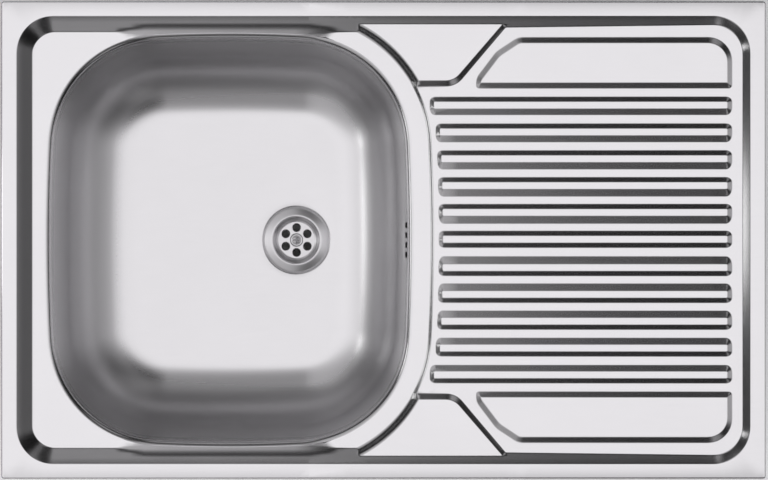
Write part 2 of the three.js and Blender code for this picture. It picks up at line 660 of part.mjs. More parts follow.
const strainerRimZ = GAP * 2 + UPPER_SEAL_THICKNESS;
const plateZ = strainerRimZ - STRAINER_PLATE_DROP;
const dimpleRadius = WASTE_SCREW_HEAD / 2 + RUNNING_GAP;
const screwBoreRadius = WASTE_SCREW_DIAMETER / 2 + RUNNING_GAP;

function strainer() {
  const cup = STRAINER_CUP_DIAMETER / 2;
  const plate = STRAINER_PLATE_DIAMETER / 2;
  const dimpleZ = plateZ - WASTE_SCREW_HEAD_HEIGHT / 2;
  const edge = STRAINER_DIAMETER / 2;
  const upper = [
    [edge, strainerRimZ + STRAINER_SHEET / 2],
    [edge - STRAINER_EDGE_RUN, strainerRimZ + STRAINER_SHEET * 3 / 2],
    [cup + STRAINER_LIP_RUN, strainerRimZ + STRAINER_SHEET],
    [cup, strainerRimZ],
    [plate, plateZ],
    [dimpleRadius + DIMPLE_RUN, plateZ],
    [dimpleRadius, dimpleZ],
    [screwBoreRadius, dimpleZ],
  ];
  const lower = [
    [screwBoreRadius, dimpleZ - STRAINER_SHEET],
    [dimpleRadius + DIMPLE_RUN, dimpleZ - STRAINER_SHEET],
    [dimpleRadius + 2 * DIMPLE_RUN, plateZ - STRAINER_SHEET],
    [plate + STRAINER_SHEET, plateZ - STRAINER_SHEET],
    [cup + STRAINER_SHEET, strainerRimZ - STRAINER_SHEET / 2],
    [cup + STRAINER_LIP_RUN + STRAINER_SHEET / 2, strainerRimZ],
    [edge, strainerRimZ],
  ];
  const holes = Array.from({ length: STRAINER_HOLE_COUNT }, (_, i) => {
    const angle = Math.PI / 2 + i * 2 * Math.PI / STRAINER_HOLE_COUNT;
    const x = STRAINER_HOLE_CIRCLE / 2 * Math.cos(angle);
    const y = STRAINER_HOLE_CIRCLE / 2 * Math.sin(angle);
    const outline = circle(STRAINER_HOLE_DIAMETER / 2, 12, x, y);
    return toManifold(prism(outline, plateZ - STRAINER_SHEET - OVERCUT, plateZ + OVERCUT));
  });
  return cut(toManifold(turned([...upper, ...lower], 30)), ...holes);
}
addMesh('waste_strainer', strainer(), polishedSteel, waste);

const sealInner = WASTE_HOLE_DIAMETER / 2 + 2;
addMesh('waste_upper_seal', turned([
  [sealInner, GAP],
  [STRAINER_DIAMETER / 2 - 1, GAP],
  [STRAINER_DIAMETER / 2 - 1, GAP + UPPER_SEAL_THICKNESS],
  [sealInner + 1, GAP + UPPER_SEAL_THICKNESS],
], 24), blackRubber, waste);

const gasketTop = -SHEET - GAP;
addMesh('waste_lower_gasket', turned([
  [WASTE_HOLE_DIAMETER / 2 + 1, gasketTop - GASKET_THICKNESS],
  [GASKET_DIAMETER / 2, gasketTop - GASKET_THICKNESS],
  [GASKET_DIAMETER / 2, gasketTop],
  [WASTE_HOLE_DIAMETER / 2 + 1, gasketTop],
], 24), blackRubber, waste);

// The moulded body under the floor: flange, cup with an inlet for the overflow, threaded tail, and
// a boss on three arms that holds the nut of the strainer's screw.
const bodyTop = gasketTop - GASKET_THICKNESS - GAP;
const cupFloor = bodyTop - WASTE_CUP_DEPTH;
const tailBottom = cupFloor - WASTE_TAIL_LENGTH;
const tailRadius = WASTE_TAIL_DIAMETER / 2;
const cupRadius = WASTE_CUP_DIAMETER / 2;
const inletZ = bodyTop - WASTE_FLANGE_THICKNESS - PIPE_DIAMETER / 2 - SPIGOT_WALL;
const spigotBore = PIPE_DIAMETER / 2 + GAP;
const spigotRadius = spigotBore + SPIGOT_WALL;
const inletEnd = cupRadius + INLET_LENGTH;
const screwTop = plateZ - WASTE_SCREW_HEAD_HEIGHT / 2 + GAP + WASTE_SCREW_HEAD_HEIGHT;
const screwEnd = screwTop - WASTE_SCREW_HEAD_HEIGHT - WASTE_SCREW_LENGTH;
const nutZ = screwEnd + SCREW_TIP_LENGTH;
const nutPocketTop = nutZ + WASTE_NUT_HEIGHT + GAP;
const bossTop = nutPocketTop + WASTE_BOSS_FLOOR;
const bossBottom = nutZ - WASTE_BOSS_SKIRT;

function wasteBody() {
  const shell = turned([
    [cupRadius - WASTE_WALL, bodyTop],
    [cupRadius - WASTE_WALL, cupFloor + WASTE_WALL],
    [tailRadius - WASTE_WALL, cupFloor - WASTE_WALL],
    [tailRadius - WASTE_WALL, tailBottom],
    [tailRadius, tailBottom],
    [tailRadius, cupFloor - WASTE_WALL],
    [cupRadius, cupFloor + WASTE_WALL],
    [cupRadius, bodyTop - WASTE_FLANGE_THICKNESS - WASTE_FLANGE_FILLET],
    [cupRadius + WASTE_FLANGE_FILLET, bodyTop - WASTE_FLANGE_THICKNESS],
    [WASTE_FLANGE_DIAMETER / 2, bodyTop - WASTE_FLANGE_THICKNESS],
    [WASTE_FLANGE_DIAMETER / 2, bodyTop],
  ], 26);
  const boss = prism(circle(WASTE_BOSS_DIAMETER / 2, 18), bossBottom, bossTop);
  const armReach = cupRadius - WASTE_WALL / 2;
  const arms = Array.from({ length: WASTE_ARM_COUNT }, (_, i) => {
    const arm = new THREE.BoxGeometry(armReach, WASTE_ARM_THICKNESS, WASTE_NUT_HEIGHT);
    arm.translate(armReach / 2, 0, (bossBottom + bossTop) / 2);
    return toManifold(arm.rotateZ((2 * i + 1) * Math.PI / WASTE_ARM_COUNT));
  });
  const along = (radius, from, to) => toManifold(
    prism(circle(radius, 16), from, to).rotateY(Math.PI / 2).translate(0, 0, inletZ),
  );
  const nutPocket = prism(hexagon(WASTE_NUT_FLATS / 2 + GAP), bossBottom - OVERCUT, nutPocketTop);
  const bore = prism(circle(screwBoreRadius, 16), bossBottom - OVERCUT, bossTop + OVERCUT);
  const solid = joined(toManifold(shell), along(spigotRadius, armReach, inletEnd));
  const opened = cut(solid, along(PIPE_BORE / 2, cupRadius - 2 * WASTE_WALL, inletEnd + OVERCUT));
  const socketed = cut(opened, along(spigotBore, inletEnd - PIPE_INSERTION - GAP, inletEnd + OVERCUT));
  return cut(joined(socketed, toManifold(boss), ...arms), toManifold(nutPocket), toManifold(bore));
}
addMesh('waste_body', wasteBody(), whitePlastic, waste);

addMesh('waste_screw', turned([
  [0, screwTop],
  [0, screwEnd],
  [WASTE_SCREW_DIAMETER / 2 - SCREW_TIP_INSET, screwEnd],
  [WASTE_SCREW_DIAMETER / 2, screwEnd + SCREW_TIP_LENGTH],
  [WASTE_SCREW_DIAMETER / 2, screwTop - WASTE_SCREW_HEAD_HEIGHT],
  [WASTE_SCREW_HEAD / 2, screwTop - WASTE_SCREW_HEAD_HEIGHT],
  [WASTE_SCREW_HEAD / 2, screwTop - WASTE_SCREW_HEAD_HEIGHT / 3],
  [WASTE_SCREW_HEAD / 2 - WASTE_SCREW_HEAD_CHAMFER, screwTop],
], 14), polishedSteel, waste);

addMesh('waste_nut', prism(
  hexagon(WASTE_NUT_FLATS / 2),
  nutZ,
  nutZ + WASTE_NUT_HEIGHT,
  [circle(WASTE_SCREW_DIAMETER / 2 + GAP, 16).reverse()],
), brass, waste);

// ---------------------------------------------------------------- overflow

// Pieces on the bowl wall are made in a frame whose X points away from the wall and whose origin
// lies on the wall's outer face, level with the middle of the slots.
const onWall = new THREE.Group();
onWall.position.set(slotX(SLOT_DROP) + SHEET / Math.cos(BOWL_DRAFT), 0, STRIP_Z - SLOT_DROP);
onWall.rotation.y = BOWL_DRAFT;
object.add(onWall);

const facing = (geometry) => geometry.rotateY(Math.PI / 2);
const housingOutline = (inset) => roundedRectangle(
  HOUSING_HEIGHT / 2 - inset, HOUSING_WIDTH / 2 - inset, HOUSING_CORNER_RADIUS - inset, 4,
);
addMesh('overflow_gasket', facing(prism(
  housingOutline(0),
  GAP,
  GAP + OVERFLOW_GASKET_THICKNESS,
  [housingOutline(OVERFLOW_GASKET_BORDER).reverse()],
)), blackRubber, onWall);

const housingFace = 2 * GAP + OVERFLOW_GASKET_THICKNESS;
const pipeOffset = spigotRadius + GAP + UNION_NUT_WALL * 1.5 + UNION_NUT_WALL_CLEARANCE;
const housingBack = pipeOffset + spigotRadius;
const spigotTopZ = -HOUSING_HEIGHT / 2 + HOUSING_WALL;
const spigotEndZ = -HOUSING_HEIGHT / 2 - SPIGOT_LENGTH;

function overflowHousing() {
  const block = toManifold(facing(prism(housingOutline(0), housingFace, housingBack)));
  const roomOutline = housingOutline(HOUSING_WALL);
  const room = facing(prism(roomOutline, housingFace - OVERCUT, housingBack - HOUSING_WALL));
  const upright = (radius, from, to) => toManifold(prism(circle(radius, 16, pipeOffset, 0), from, to));
  return cut(
    joined(cut(block, toManifold(room)), upright(spigotRadius, spigotEndZ, spigotTopZ)),
    upright(PIPE_BORE / 2, spigotEndZ - OVERCUT, spigotTopZ + OVERCUT),
    upright(spigotBore, spigotEndZ - OVERCUT, spigotEndZ + PIPE_INSERTION + GAP),
  );
}
addMesh('overflow_housing', overflowHousing(), whitePlastic, onWall);

const strapInside = HOUSING_WIDTH / 2 + GAP + STRAP_THICKNESS / 2;
const strapOutside = housingBack + GAP + STRAP_THICKNESS / 2;
const strapFootX = GAP + STRAP_THICKNESS / 2;
addMesh('overflow_strap', prism(foldedStrip([
  [strapFootX, -strapInside - STRAP_FOOT],
  [strapFootX, -strapInside],
  [strapOutside, -strapInside],
  [strapOutside, strapInside],
  [strapFootX, strapInside],
  [strapFootX, strapInside + STRAP_FOOT],
], STRAP_THICKNESS), -STRAP_WIDTH / 2, STRAP_WIDTH / 2), zincPlate, onWall);

// The moulded pipe runs from the housing's spigot down past the bowl and back under its floor.
onWall.updateMatrixWorld(true);
const wallPoint = (x, z) => onWall.localToWorld(new THREE.Vector3(x, 0, z));
const pipeTop = wallPoint(pipeOffset, spigotEndZ + PIPE_INSERTION);
const spigotMouth = wallPoint(pipeOffset, spigotEndZ);
const inletWorldZ = WASTE_SEAT_Z + inletZ;
const pipeEnd = new THREE.Vector3(WASTE_X + inletEnd - PIPE_INSERTION, 0, inletWorldZ);

function overflowPipe() {
  const down = spigotMouth.clone().sub(pipeTop).normalize();
  const clear = spigotMouth.clone().addScaledVector(down, UNION_NUT_GRIP * 2);
  const elbowX = clear.x + PIPE_BEND_RADIUS * down.x;
  const corner = new THREE.Vector3(elbowX, 0, inletWorldZ);
  const bendTop = corner.clone().setZ(inletWorldZ + PIPE_BEND_RADIUS);
  const bendEnd = corner.clone().setX(elbowX - PIPE_BEND_RADIUS);
  const route = new THREE.CurvePath();
  const line = (from, to) => route.add(new THREE.LineCurve3(from, to));
  const curve = (from, over, to) => route.add(new THREE.CubicBezierCurve3(
    from, from.clone().lerp(over, QUARTER_HANDLE), to.clone().lerp(over, QUARTER_HANDLE), to,
  ));
  const settle = clear.clone().setX(elbowX).setZ(clear.z - PIPE_BEND_RADIUS);
  line(pipeTop, clear);
  curve(clear, clear.clone().addScaledVector(down, PIPE_BEND_RADIUS / 2), settle);
  line(settle, bendTop);
  curve(bendTop, corner, bendEnd);
  line(bendEnd, pipeEnd);
  return route;
}

// Rings of points round the route, which lies in the XZ plane, for the pipe's outside and bore.
function pipeAlong(route) {
  const steps = (curve) => (curve.isLineCurve3 ? 1 : 5);
  const starts = route.curves.flatMap((curve) => curve.getPoints(steps(curve)).slice(0, -1));
  const points = [...starts, pipeEnd];
  const across = new THREE.Vector3(0, 1, 0);
  const ringsAt = (radius) => points.map((point, i) => {
    const before = points[Math.max(i - 1, 0)];
    const after = points[Math.min(i + 1, points.length - 1)];
    const outwards = across.clone().cross(after.clone().sub(before).normalize());
    return circle(radius, 12).map(([a, b]) => (
      point.clone().addScaledVector(across, a).addScaledVector(outwards, b)
    ));
  });
  return { outer: ringsAt(PIPE_DIAMETER / 2), inner: ringsAt(PIPE_BORE / 2) };
}

function tubeBetween({ outer, inner }) {
  const loops = [...outer, ...inner.slice().reverse()];
  const steps = outer[0].length;
  const vertices = loops.flatMap((loop) => loop.flatMap((point) => point.toArray()));
  const faces = loops.flatMap((_, level) => Array.from({ length: steps }, (__, i) => {
    const next = (level + 1) % loops.length;
    const a = level * steps + i;
    const b = level * steps + (i + 1) % steps;
    const c = next * steps + (i + 1) % steps;
    const d = next * steps + i;
    return [a, c, b, a, d, c];
  }).flat());
  const geometry = new THREE.BufferGeometry();
  geometry.setAttribute('position', new THREE.Float32BufferAttribute(vertices, 3));
  geometry.setIndex(faces);
  geometry.computeVertexNormals();
  return geometry;
}
addMesh('overflow_pipe', tubeBetween(pipeAlong(overflowPipe())), whitePlastic);

// A union nut with grip ribs, and the ring that it presses against the end of a spigot. Both are
// made pointing up, with the end of the spigot at the origin.
function unionNut() {
  const inner = spigotRadius + GAP;
  const outer = inner + UNION_NUT_WALL;
  const collar = PIPE_DIAMETER / 2 + GAP;
  const floor = -UNION_SEAL_LENGTH - 2 * GAP;
  const shell = toManifold(turned([
    [collar, floor - UNION_NUT_WALL],
    [outer, floor - UNION_NUT_WALL],
    [outer, UNION_NUT_GRIP],
    [inner, UNION_NUT_GRIP],
    [inner, floor],
    [collar, floor],
  ], 16));
  const ribs = Array.from({ length: UNION_NUT_RIB_COUNT }, (_, i) => {
    const grip = new THREE.BoxGeometry(UNION_NUT_WALL, UNION_NUT_WALL, UNION_NUT_GRIP - floor);
    grip.translate(outer, 0, (UNION_NUT_GRIP + floor) / 2 - UNION_NUT_WALL / 2);
    return toManifold(grip.rotateZ(i * 2 * Math.PI / UNION_NUT_RIB_COUNT));
  });
  return joined(shell, ...ribs);
}

const unionSeal = () => turned([
  [spigotBore, -UNION_SEAL_LENGTH - GAP],
  [spigotRadius, -UNION_SEAL_LENGTH - GAP],
  [spigotRadius, -GAP],
  [spigotBore, -GAP],
], 16);

const topUnion = new THREE.Group();
topUnion.position.set(pipeOffset, 0, spigotEndZ);
onWall.add(topUnion);
const inletUnion = new THREE.Group();
inletUnion.position.set(inletEnd, 0, inletZ);
inletUnion.rotation.y = -Math.PI / 2;
waste.add(inletUnion);
addMesh('overflow_nut_top', unionNut(), whitePlastic, topUnion);
addMesh('overflow_seal_top', unionSeal(), blackRubber, topUnion);
addMesh('overflow_nut_bottom', unionNut(), whitePlastic, inletUnion);
addMesh('overflow_seal_bottom', unionSeal(), blackRubber, inletUnion);

// ---------------------------------------------------------------- worktop clamps

// A clamp is made in a frame whose X points outwards from the sink and whose Z axis is its screw.
function clampBracket() {
  const wallRun = (z) => CLAMP_AXIS_INSET - (RIM_HEIGHT - z) * RECESS_WALL_RUN;
  const stand = (SHEET + GAP + BRACKET_SHEET / 2) / Math.sin(RECESS_WALL_ANGLE);
  const flangeX = (z) => wallRun(z) + stand;
  const topZ = RIM_UNDERSIDE_Z - GAP - BRACKET_SHEET / 2 / Math.cos(RECESS_WALL_ANGLE);
  const footZ = RIM_HEIGHT - DRAINER_END_DROP;
  const legX = CLAMP_AXIS_INSET + BRACKET_LEG_OFFSET;
  const outline = foldedStrip([
    [flangeX(footZ), footZ],
    [flangeX(topZ - BRACKET_CREST), topZ - BRACKET_CREST],
    [legX, topZ - 2 * BRACKET_SHEET],
    [legX, -CLAMP_TAB_DROP],
    [-BRACKET_TAB_REACH, -CLAMP_TAB_DROP],
  ], BRACKET_SHEET);
  const strip = prism(outline, -BRACKET_WIDTH / 2, BRACKET_WIDTH / 2).rotateX(Math.PI / 2);
  const collarEnd = -CLAMP_TAB_DROP - BRACKET_COLLAR_LENGTH - BRACKET_SHEET / 2;
  const shank = CLAMP_SCREW_DIAMETER / 2;
  const collar = prism(circle(shank + BRACKET_COLLAR_WALL, 12), collarEnd, -CLAMP_TAB_DROP);
  const bore = prism(circle(shank + GAP, 12), collarEnd - OVERCUT, -CLAMP_TAB_DROP / 2);
  return cut(joined(toManifold(strip), toManifold(collar)), toManifold(bore));
}

const clawArmZ = -CLAW_REST_DROP - CLAW_TIP_HEIGHT;

function clampClaw() {
  const outline = foldedStrip([
    [-CLAW_TAIL, clawArmZ + CLAW_SHEET],
    [-CLAW_TAIL + CLAW_SHEET * 1.5, clawArmZ],
    [CLAW_REACH - CLAW_TIP_LEAN, clawArmZ],
    [CLAW_REACH, clawArmZ + CLAW_TIP_HEIGHT],
  ], CLAW_SHEET);
  const strip = toManifold(prism(outline, -CLAW_WIDTH / 2, CLAW_WIDTH / 2).rotateX(Math.PI / 2));
  const pitch = CLAW_WIDTH / CLAW_TOOTH_COUNT;
  const tipZ = clawArmZ + CLAW_TIP_HEIGHT + CLAW_SHEET / 2;
  const notches = Array.from({ length: CLAW_TOOTH_COUNT + 1 }, (_, i) => {
    const y = -CLAW_WIDTH / 2 + i * pitch;
    const notch = [[y - pitch / 2, tipZ], [y, tipZ - CLAW_TOOTH_DEPTH], [y + pitch / 2, tipZ]];
    const solid = prism(notch, CLAW_REACH / 2, CLAW_REACH * 1.5);
    return toManifold(solid.applyMatrix4(new THREE.Matrix4().makeBasis(
      new THREE.Vector3(0, 1, 0), new THREE.Vector3(0, 0, 1), new THREE.Vector3(1, 0, 0),
    )));
  });
  const hole = circle(CLAMP_SCREW_DIAMETER / 2 + RUNNING_GAP, 10);
  const bore = prism(hole, clawArmZ - CLAW_SHEET, clawArmZ + CLAW_SHEET);
  return cut(strip, toManifold(bore), ...notches);
}

function clampScrew() {
  const shank = CLAMP_SCREW_DIAMETER / 2;
  const headTop = clawArmZ - CLAW_SHEET / 2 - GAP;
  const shoulder = clawArmZ + CLAW_SHEET / 2 + GAP;
  const tip = -CLAMP_TAB_DROP + BRACKET_SHEET / 3;
  return turned([
    [0, tip],
    [0, headTop - CLAMP_HEAD_HEIGHT],
    [CLAMP_HEAD_DIAMETER / 2 - CLAMP_HEAD_CHAMFER, headTop - CLAMP_HEAD_HEIGHT],
    [CLAMP_HEAD_DIAMETER / 2, headTop - CLAMP_HEAD_HEIGHT / 2],
    [CLAMP_HEAD_DIAMETER / 2, headTop],
    [shank, headTop],
    [shank, shoulder],
    [shank + CLAMP_SHOULDER_WIDTH, shoulder],
    [shank + CLAMP_SHOULDER_WIDTH, shoulder + CLAMP_SHOULDER_HEIGHT],
    [shank, shoulder + CLAMP_SHOULDER_HEIGHT],
    [shank, tip],
  ], 8);
}

// Each clamp's place, the way it faces and the side to which its claw is folded away.
const clampX = RECESS_HALF_LENGTH - CLAMP_AXIS_INSET;
const clampY = RECESS_HALF_WIDTH - CLAMP_AXIS_INSET;
const clamps = [
  { x: -CLAMP_SPACING / 2, y: clampY, facing: Math.PI / 2, fold: -1 },
  { x: CLAMP_SPACING / 2, y: clampY, facing: Math.PI / 2, fold: 1 },
  { x: clampX, y: 0, facing: 0, fold: 1 },
  { x: CLAMP_SPACING / 2, y: -clampY, facing: -Math.PI / 2, fold: -1 },
  { x: -CLAMP_SPACING / 2, y: -clampY, facing: -Math.PI / 2, fold: 1 },
  { x: -clampX, y: 0, facing: Math.PI, fold: 1 },
];
clamps.forEach(({ x, y, facing: angle, fold }, i) => {
  const clamp = new THREE.Group();
  clamp.position.set(x, y, 0);
  clamp.rotation.z = angle;
  object.add(clamp);
  const number = i + 1;
  addMesh(`clamp_bracket_${number}`, clampBracket(), zincPlate, clamp);
  addMesh(`clamp_screw_${number}`, clampScrew(), zincPlate, clamp);
  const claw = addMesh(`clamp_claw_${number}`, clampClaw(), zincPlate, clamp);
  claw.rotation.z = fold * Math.PI / 2;
});

export default object;
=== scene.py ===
"""The looks of an inset stainless steel kitchen sink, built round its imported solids.

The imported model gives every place: the origin is the middle of the rim in the plane of the worktop,
+X runs towards the drainer, +Y to the back and +Z up. Metres throughout.
"""
import math

import bpy
import numpy as np
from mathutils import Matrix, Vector
from mathutils.geometry import delaunay_2d_cdt


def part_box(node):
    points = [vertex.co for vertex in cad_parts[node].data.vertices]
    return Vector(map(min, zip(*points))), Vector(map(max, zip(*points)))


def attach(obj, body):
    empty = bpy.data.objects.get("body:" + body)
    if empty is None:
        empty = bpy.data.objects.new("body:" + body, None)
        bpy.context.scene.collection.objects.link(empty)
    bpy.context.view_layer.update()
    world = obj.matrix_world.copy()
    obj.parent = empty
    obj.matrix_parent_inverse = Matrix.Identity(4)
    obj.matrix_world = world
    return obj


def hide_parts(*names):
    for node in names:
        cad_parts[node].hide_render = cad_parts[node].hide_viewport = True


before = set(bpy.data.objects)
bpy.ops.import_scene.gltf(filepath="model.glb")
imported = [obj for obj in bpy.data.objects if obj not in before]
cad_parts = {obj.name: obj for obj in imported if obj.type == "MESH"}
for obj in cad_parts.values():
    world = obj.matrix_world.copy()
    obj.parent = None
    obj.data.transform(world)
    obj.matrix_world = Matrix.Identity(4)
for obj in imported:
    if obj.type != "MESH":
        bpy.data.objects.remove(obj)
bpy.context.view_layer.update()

# ---- sizes

sink_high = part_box("sink_body")[1]
HALF_LENGTH = sink_high.x
HALF_WIDTH = sink_high.y
RIM_HEIGHT = sink_high.z
LIP_FOOT = 0.0002  # level of the rim's outer edge above the worktop
SHEET = 0.0008

RIM_FLAT = 0.016
RIM_CORNER_RADIUS = 0.003
RIM_EDGE_RADIUS = 0.0018
RECESS_HALF_LENGTH = HALF_LENGTH - RIM_FLAT
RECESS_HALF_WIDTH = HALF_WIDTH - RIM_FLAT
RECESS_CORNER_RADIUS = 0.039
RECESS_WALL_RUN = 1.15  # sideways run of the recess wall for each metre it falls

TAP_LAND_DROP = 0.0067  # below the rim, as are the drops that follow
DRAINER_END_DROP = 0.007
PANEL_DROP = 0.0098  # of the drainer beside the panels
DRAINER_BOWL_DROP = 0.0103
STRIP_DROP = 0.0135  # of the flat strip round the bowl
TAP_LAND_Z = RIM_HEIGHT - TAP_LAND_DROP
STRIP_Z = RIM_HEIGHT - STRIP_DROP

BOWL_LENGTH = 0.3788
BOWL_WIDTH = 0.42495
BOWL_WALL_GAP = 0.0169  # between the recess wall's foot and the bowl's left side
BOWL_LEFT = -RECESS_HALF_LENGTH + STRIP_DROP * RECESS_WALL_RUN + BOWL_WALL_GAP
BOWL_RIGHT = BOWL_LEFT + BOWL_LENGTH
BOWL_X = (BOWL_LEFT + BOWL_RIGHT) / 2
BOWL_CORNER_RADIUS = 0.115
BOWL_SIDE_BOW_RADIUS = 2.1
BOWL_END_BOW_RADIUS = 1.9
BOWL_DEPTH = 0.155
BOWL_DRAFT = math.radians(7)
BOWL_MOUTH_RADIUS = 0.006
BOWL_FLOOR_RADIUS = 0.068
BOWL_FLOOR_FALL = 0.005
BOWL_FLOOR_TILT = 0.004  # the part of that fall that the floor's edge has from left to right
STRIP_WIDTH = 0.0215

PRESS_RUN = 1.67  # sideways run of a pressed flank for each metre it rises
STRIP_RUN = 1.5  # the same for the whole step from the strip round the bowl
PRESS_BEND = 0.0004  # height over which a pressed flank bends into its flat
RIM_BEND = 0.0006  # the same at the top of the recess wall
FOOT_BEND = 0.0005  # and at its foot
BOWL_FOOT_BEND = 0.0085  # and at its foot where the bowl lies close behind it, front and back:
BOWL_FOOT_NEAR = 0.023  # wholly where the recess edge and the bowl are this far apart
BOWL_FOOT_REACH = 0.031  # and no longer from this distance on
RIB_COUNT = 11
RIB_WIDTH = 0.0188
RIB_HEIGHT = 0.0033
RIB_OUTER_RUN = 1.45  # of a rib's flank on the side away from the middle rib
RIB_INNER_RUN = 2.3  # of the flank that faces the middle rib, on the ribs next to it
RIB_INNER_RUN_FALL = 0.11  # by which that run is less on each rib further out
RIB_LEFT_RUN = 1.5
RIB_TOP_WIDTH = 0.0077
RIB_END_RADIUS = 0.004
RIB_CORNER = RIB_END_RADIUS / PRESS_RUN + RIB_HEIGHT / 2  # foot's corner radius for a run of one
RIB_STRIP_GAP = 0.0029
DRAINER_MARGIN = 0.0105  # from the recess wall's foot to the ribs' ends and the panels
DRAINER_END_X = RECESS_HALF_LENGTH - DRAINER_END_DROP * RECESS_WALL_RUN
DRAINER_START_X = BOWL_RIGHT + STRIP_WIDTH
RIB_END_X = DRAINER_END_X - DRAINER_MARGIN
PANEL_WIDTH = 0.0531
PANEL_OUTER_Y = RECESS_HALF_WIDTH - PANEL_DROP * RECESS_WALL_RUN - DRAINER_MARGIN
PANEL_INNER_Y = PANEL_OUTER_Y - PANEL_WIDTH
PANEL_BOWL_GAP = 0.0688
PANEL_LEFT = BOWL_RIGHT + PANEL_BOWL_GAP
PANEL_OUTER_RADIUS = 0.027
PANEL_RIB_GAP = 0.0092
# The panel's curved left side, from the back: across it, along it and the radius there, each as a
# share of its width.
PANEL_CURVE = ((0.85, 1, 0.3), (0.414, 0.714, 0.5), (0.028, 0.205, 0.3))
RIB_PITCH = 2 * (PANEL_INNER_Y - PANEL_RIB_GAP - RIB_WIDTH / 2) / (RIB_COUNT - 1)
TAP_LAND_WIDTH = 0.067
TAP_LAND_REACH = 0.0464  # past the bowl's right side, at its inner edge
TAP_LAND_SPREAD = 0.0512  # how much further right the land ends at the wall's foot
TAP_LAND_RIGHT = BOWL_RIGHT + TAP_LAND_REACH
TAP_LAND_SPLAY = TAP_LAND_SPREAD / (TAP_LAND_WIDTH - TAP_LAND_DROP * RECESS_WALL_RUN)
TAP_LAND_CORNER_RADIUS = 0.018

strainer_low, strainer_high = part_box("waste_strainer")
WASTE_X = (strainer_low.x + strainer_high.x) / 2
WASTE_SEAT_DEPTH = 0.003
WASTE_SEAT_Z = STRIP_Z - BOWL_DEPTH - WASTE_SEAT_DEPTH
WASTE_PLACE = np.array([WASTE_X, 0, WASTE_SEAT_Z])
WASTE_SEAT_RADIUS = 0.0352
WASTE_SEAT_RUN = 0.6  # sideways run of the seat's flank for each metre it falls
WASTE_SEAT_BEND = 0.0008  # half the width in plan of the flank's bends
WASTE_SEAT_REACH = 0.006  # outside the seat, where the level that its flank starts from is taken
WASTE_HOLE_RADIUS = 0.026
WASTE_CUP_DEPTH = 0.030
WASTE_CUP_BORE_RADIUS = 0.0282  # a little more than the bores, so that the mask of painted shade ends in the walls
WASTE_TAIL_BORE_RADIUS = 0.0226
WASTE_BORE_TAPER = 0.002  # half the height over which the mask of painted shade goes from one radius to the other
STRAINER_SHEET = 0.0007
STRAINER_HOLES = 6
STRAINER_HOLE_RADIUS = 0.0045
STRAINER_HOLE_EDGE = 0.0005  # width of the rounded edge of each hole
STRAINER_HOLE_LINES = (0, 0.08, 0.25, 0.55, 1, 1.8)  # circles round it, in widths of that edge
STRAINER_HOLE_CIRCLE = 0.0137
STRAINER_PLATE_Z = -0.0052  # above the waste seat, as are the levels that follow
DIMPLE_RADIUS = 0.0062
DIMPLE_DEPTH = 0.0012
DIMPLE_STEP = 0.0012  # width of the step into the dimple
DIMPLE_LINES = DIMPLE_RADIUS + np.linspace(-0.0004, 0.0014, 8)
SCREW_BORE_RADIUS = 0.0035
# Radius and level of the strainer's upper face from its curled edge over the flange and the lip
# down to the plate.
STRAINER_PROFILE = (
    (0.0350, 0.0010), (0.0350, 0.0014), (0.0349, 0.0018), (0.0346, 0.0021), (0.0341, 0.0023),
    (0.0325, 0.00278), (0.0305, 0.00336), (0.0288, 0.00385), (0.0276, 0.00415), (0.0268, 0.0043),
    (0.0262, 0.0042), (0.0257, 0.0038), (0.0254, 0.0032), (0.0252, 0.0024), (0.0242, -0.0005),
    (0.0232, -0.0033), (0.0227, -0.0044), (0.0222, -0.0049), (0.0216, -0.0051), (0.0210, -0.0052))
SCREW_TOP_Z = -0.0034
SCREW_HEAD_RADIUS = 0.0053
SCREW_DOME = 0.0018  # height of the head's dome
SCREW_SIDE = 0.0010  # height of the head's side below the dome
SCREW_SHANK_LENGTH = 0.030
# Radius and level of the head's side and of the shank's start, from the head's underside.
SCREW_NECK = ((0.0053, 0.0002), (0.0051, 0.0), (0.0030, 0.0), (0.0026, -0.0003))
SCREW_TIP_RADIUS = 0.0022
CROSS_REACH = 0.0042  # from the middle of the head to the end of a slot of its cross
CROSS_HALF_WIDTH = 0.0009
CROSS_DEPTH = 0.002
CROSS_END = 0.0007  # length over which a slot runs out
CROSS_RISE = 0.2  # share of the depth that a slot loses on its way out

# Threads as crest radius, depth, pitch and the length over which each end fades out. The pairs are
# where they start and end: from the surface above them, and from the one below.
SCREW_THREAD = (0.003, 0.0004, 0.001, 0.001)
SCREW_THREAD_ENDS = (-0.0006, 0.0002)
TAIL_THREAD = (0.02435, 0.0009, 0.00231, 0.0015)
TAIL_THREAD_LENGTH = 0.024
TAIL_THREAD_START = 0.0006  # above the tail's end
TAIL_THREAD_INNER = 0.0227  # radius of the ring's inner side
TAIL_THREAD_EDGE = 0.0003  # height of the ring's ends beyond its thread
CLAMP_THREAD = (0.0025, 0.0004, 0.0008, 0.0008)
CLAMP_THREAD_ENDS = (-0.0005, 0.0005)
THREAD_RINGS = 8  # for each turn
# Radius and level down a clamp's screw: its upper tip, from its highest point, and from the top of
# its collar to the edge of its head's end, from its lowest point.
CLAMP_TIP = ((0.0018, 0.0), (0.0021, -0.0003))
CLAMP_SCREW_PROFILE = (
    (0.0025, 0.0072), (0.0037, 0.0072), (0.0039, 0.0070), (0.0039, 0.0062), (0.0037, 0.0060),
    (0.0025, 0.0060), (0.0025, 0.0035), (0.0048, 0.0034), (0.0050, 0.0031), (0.0050, 0.0017),
    (0.0047, 0.0010), (0.0042, 0.0004), (0.0035, 0.0))
CLAMP_CROSS_SCALE = 1.4  # by which its cross is smaller than the strainer screw's

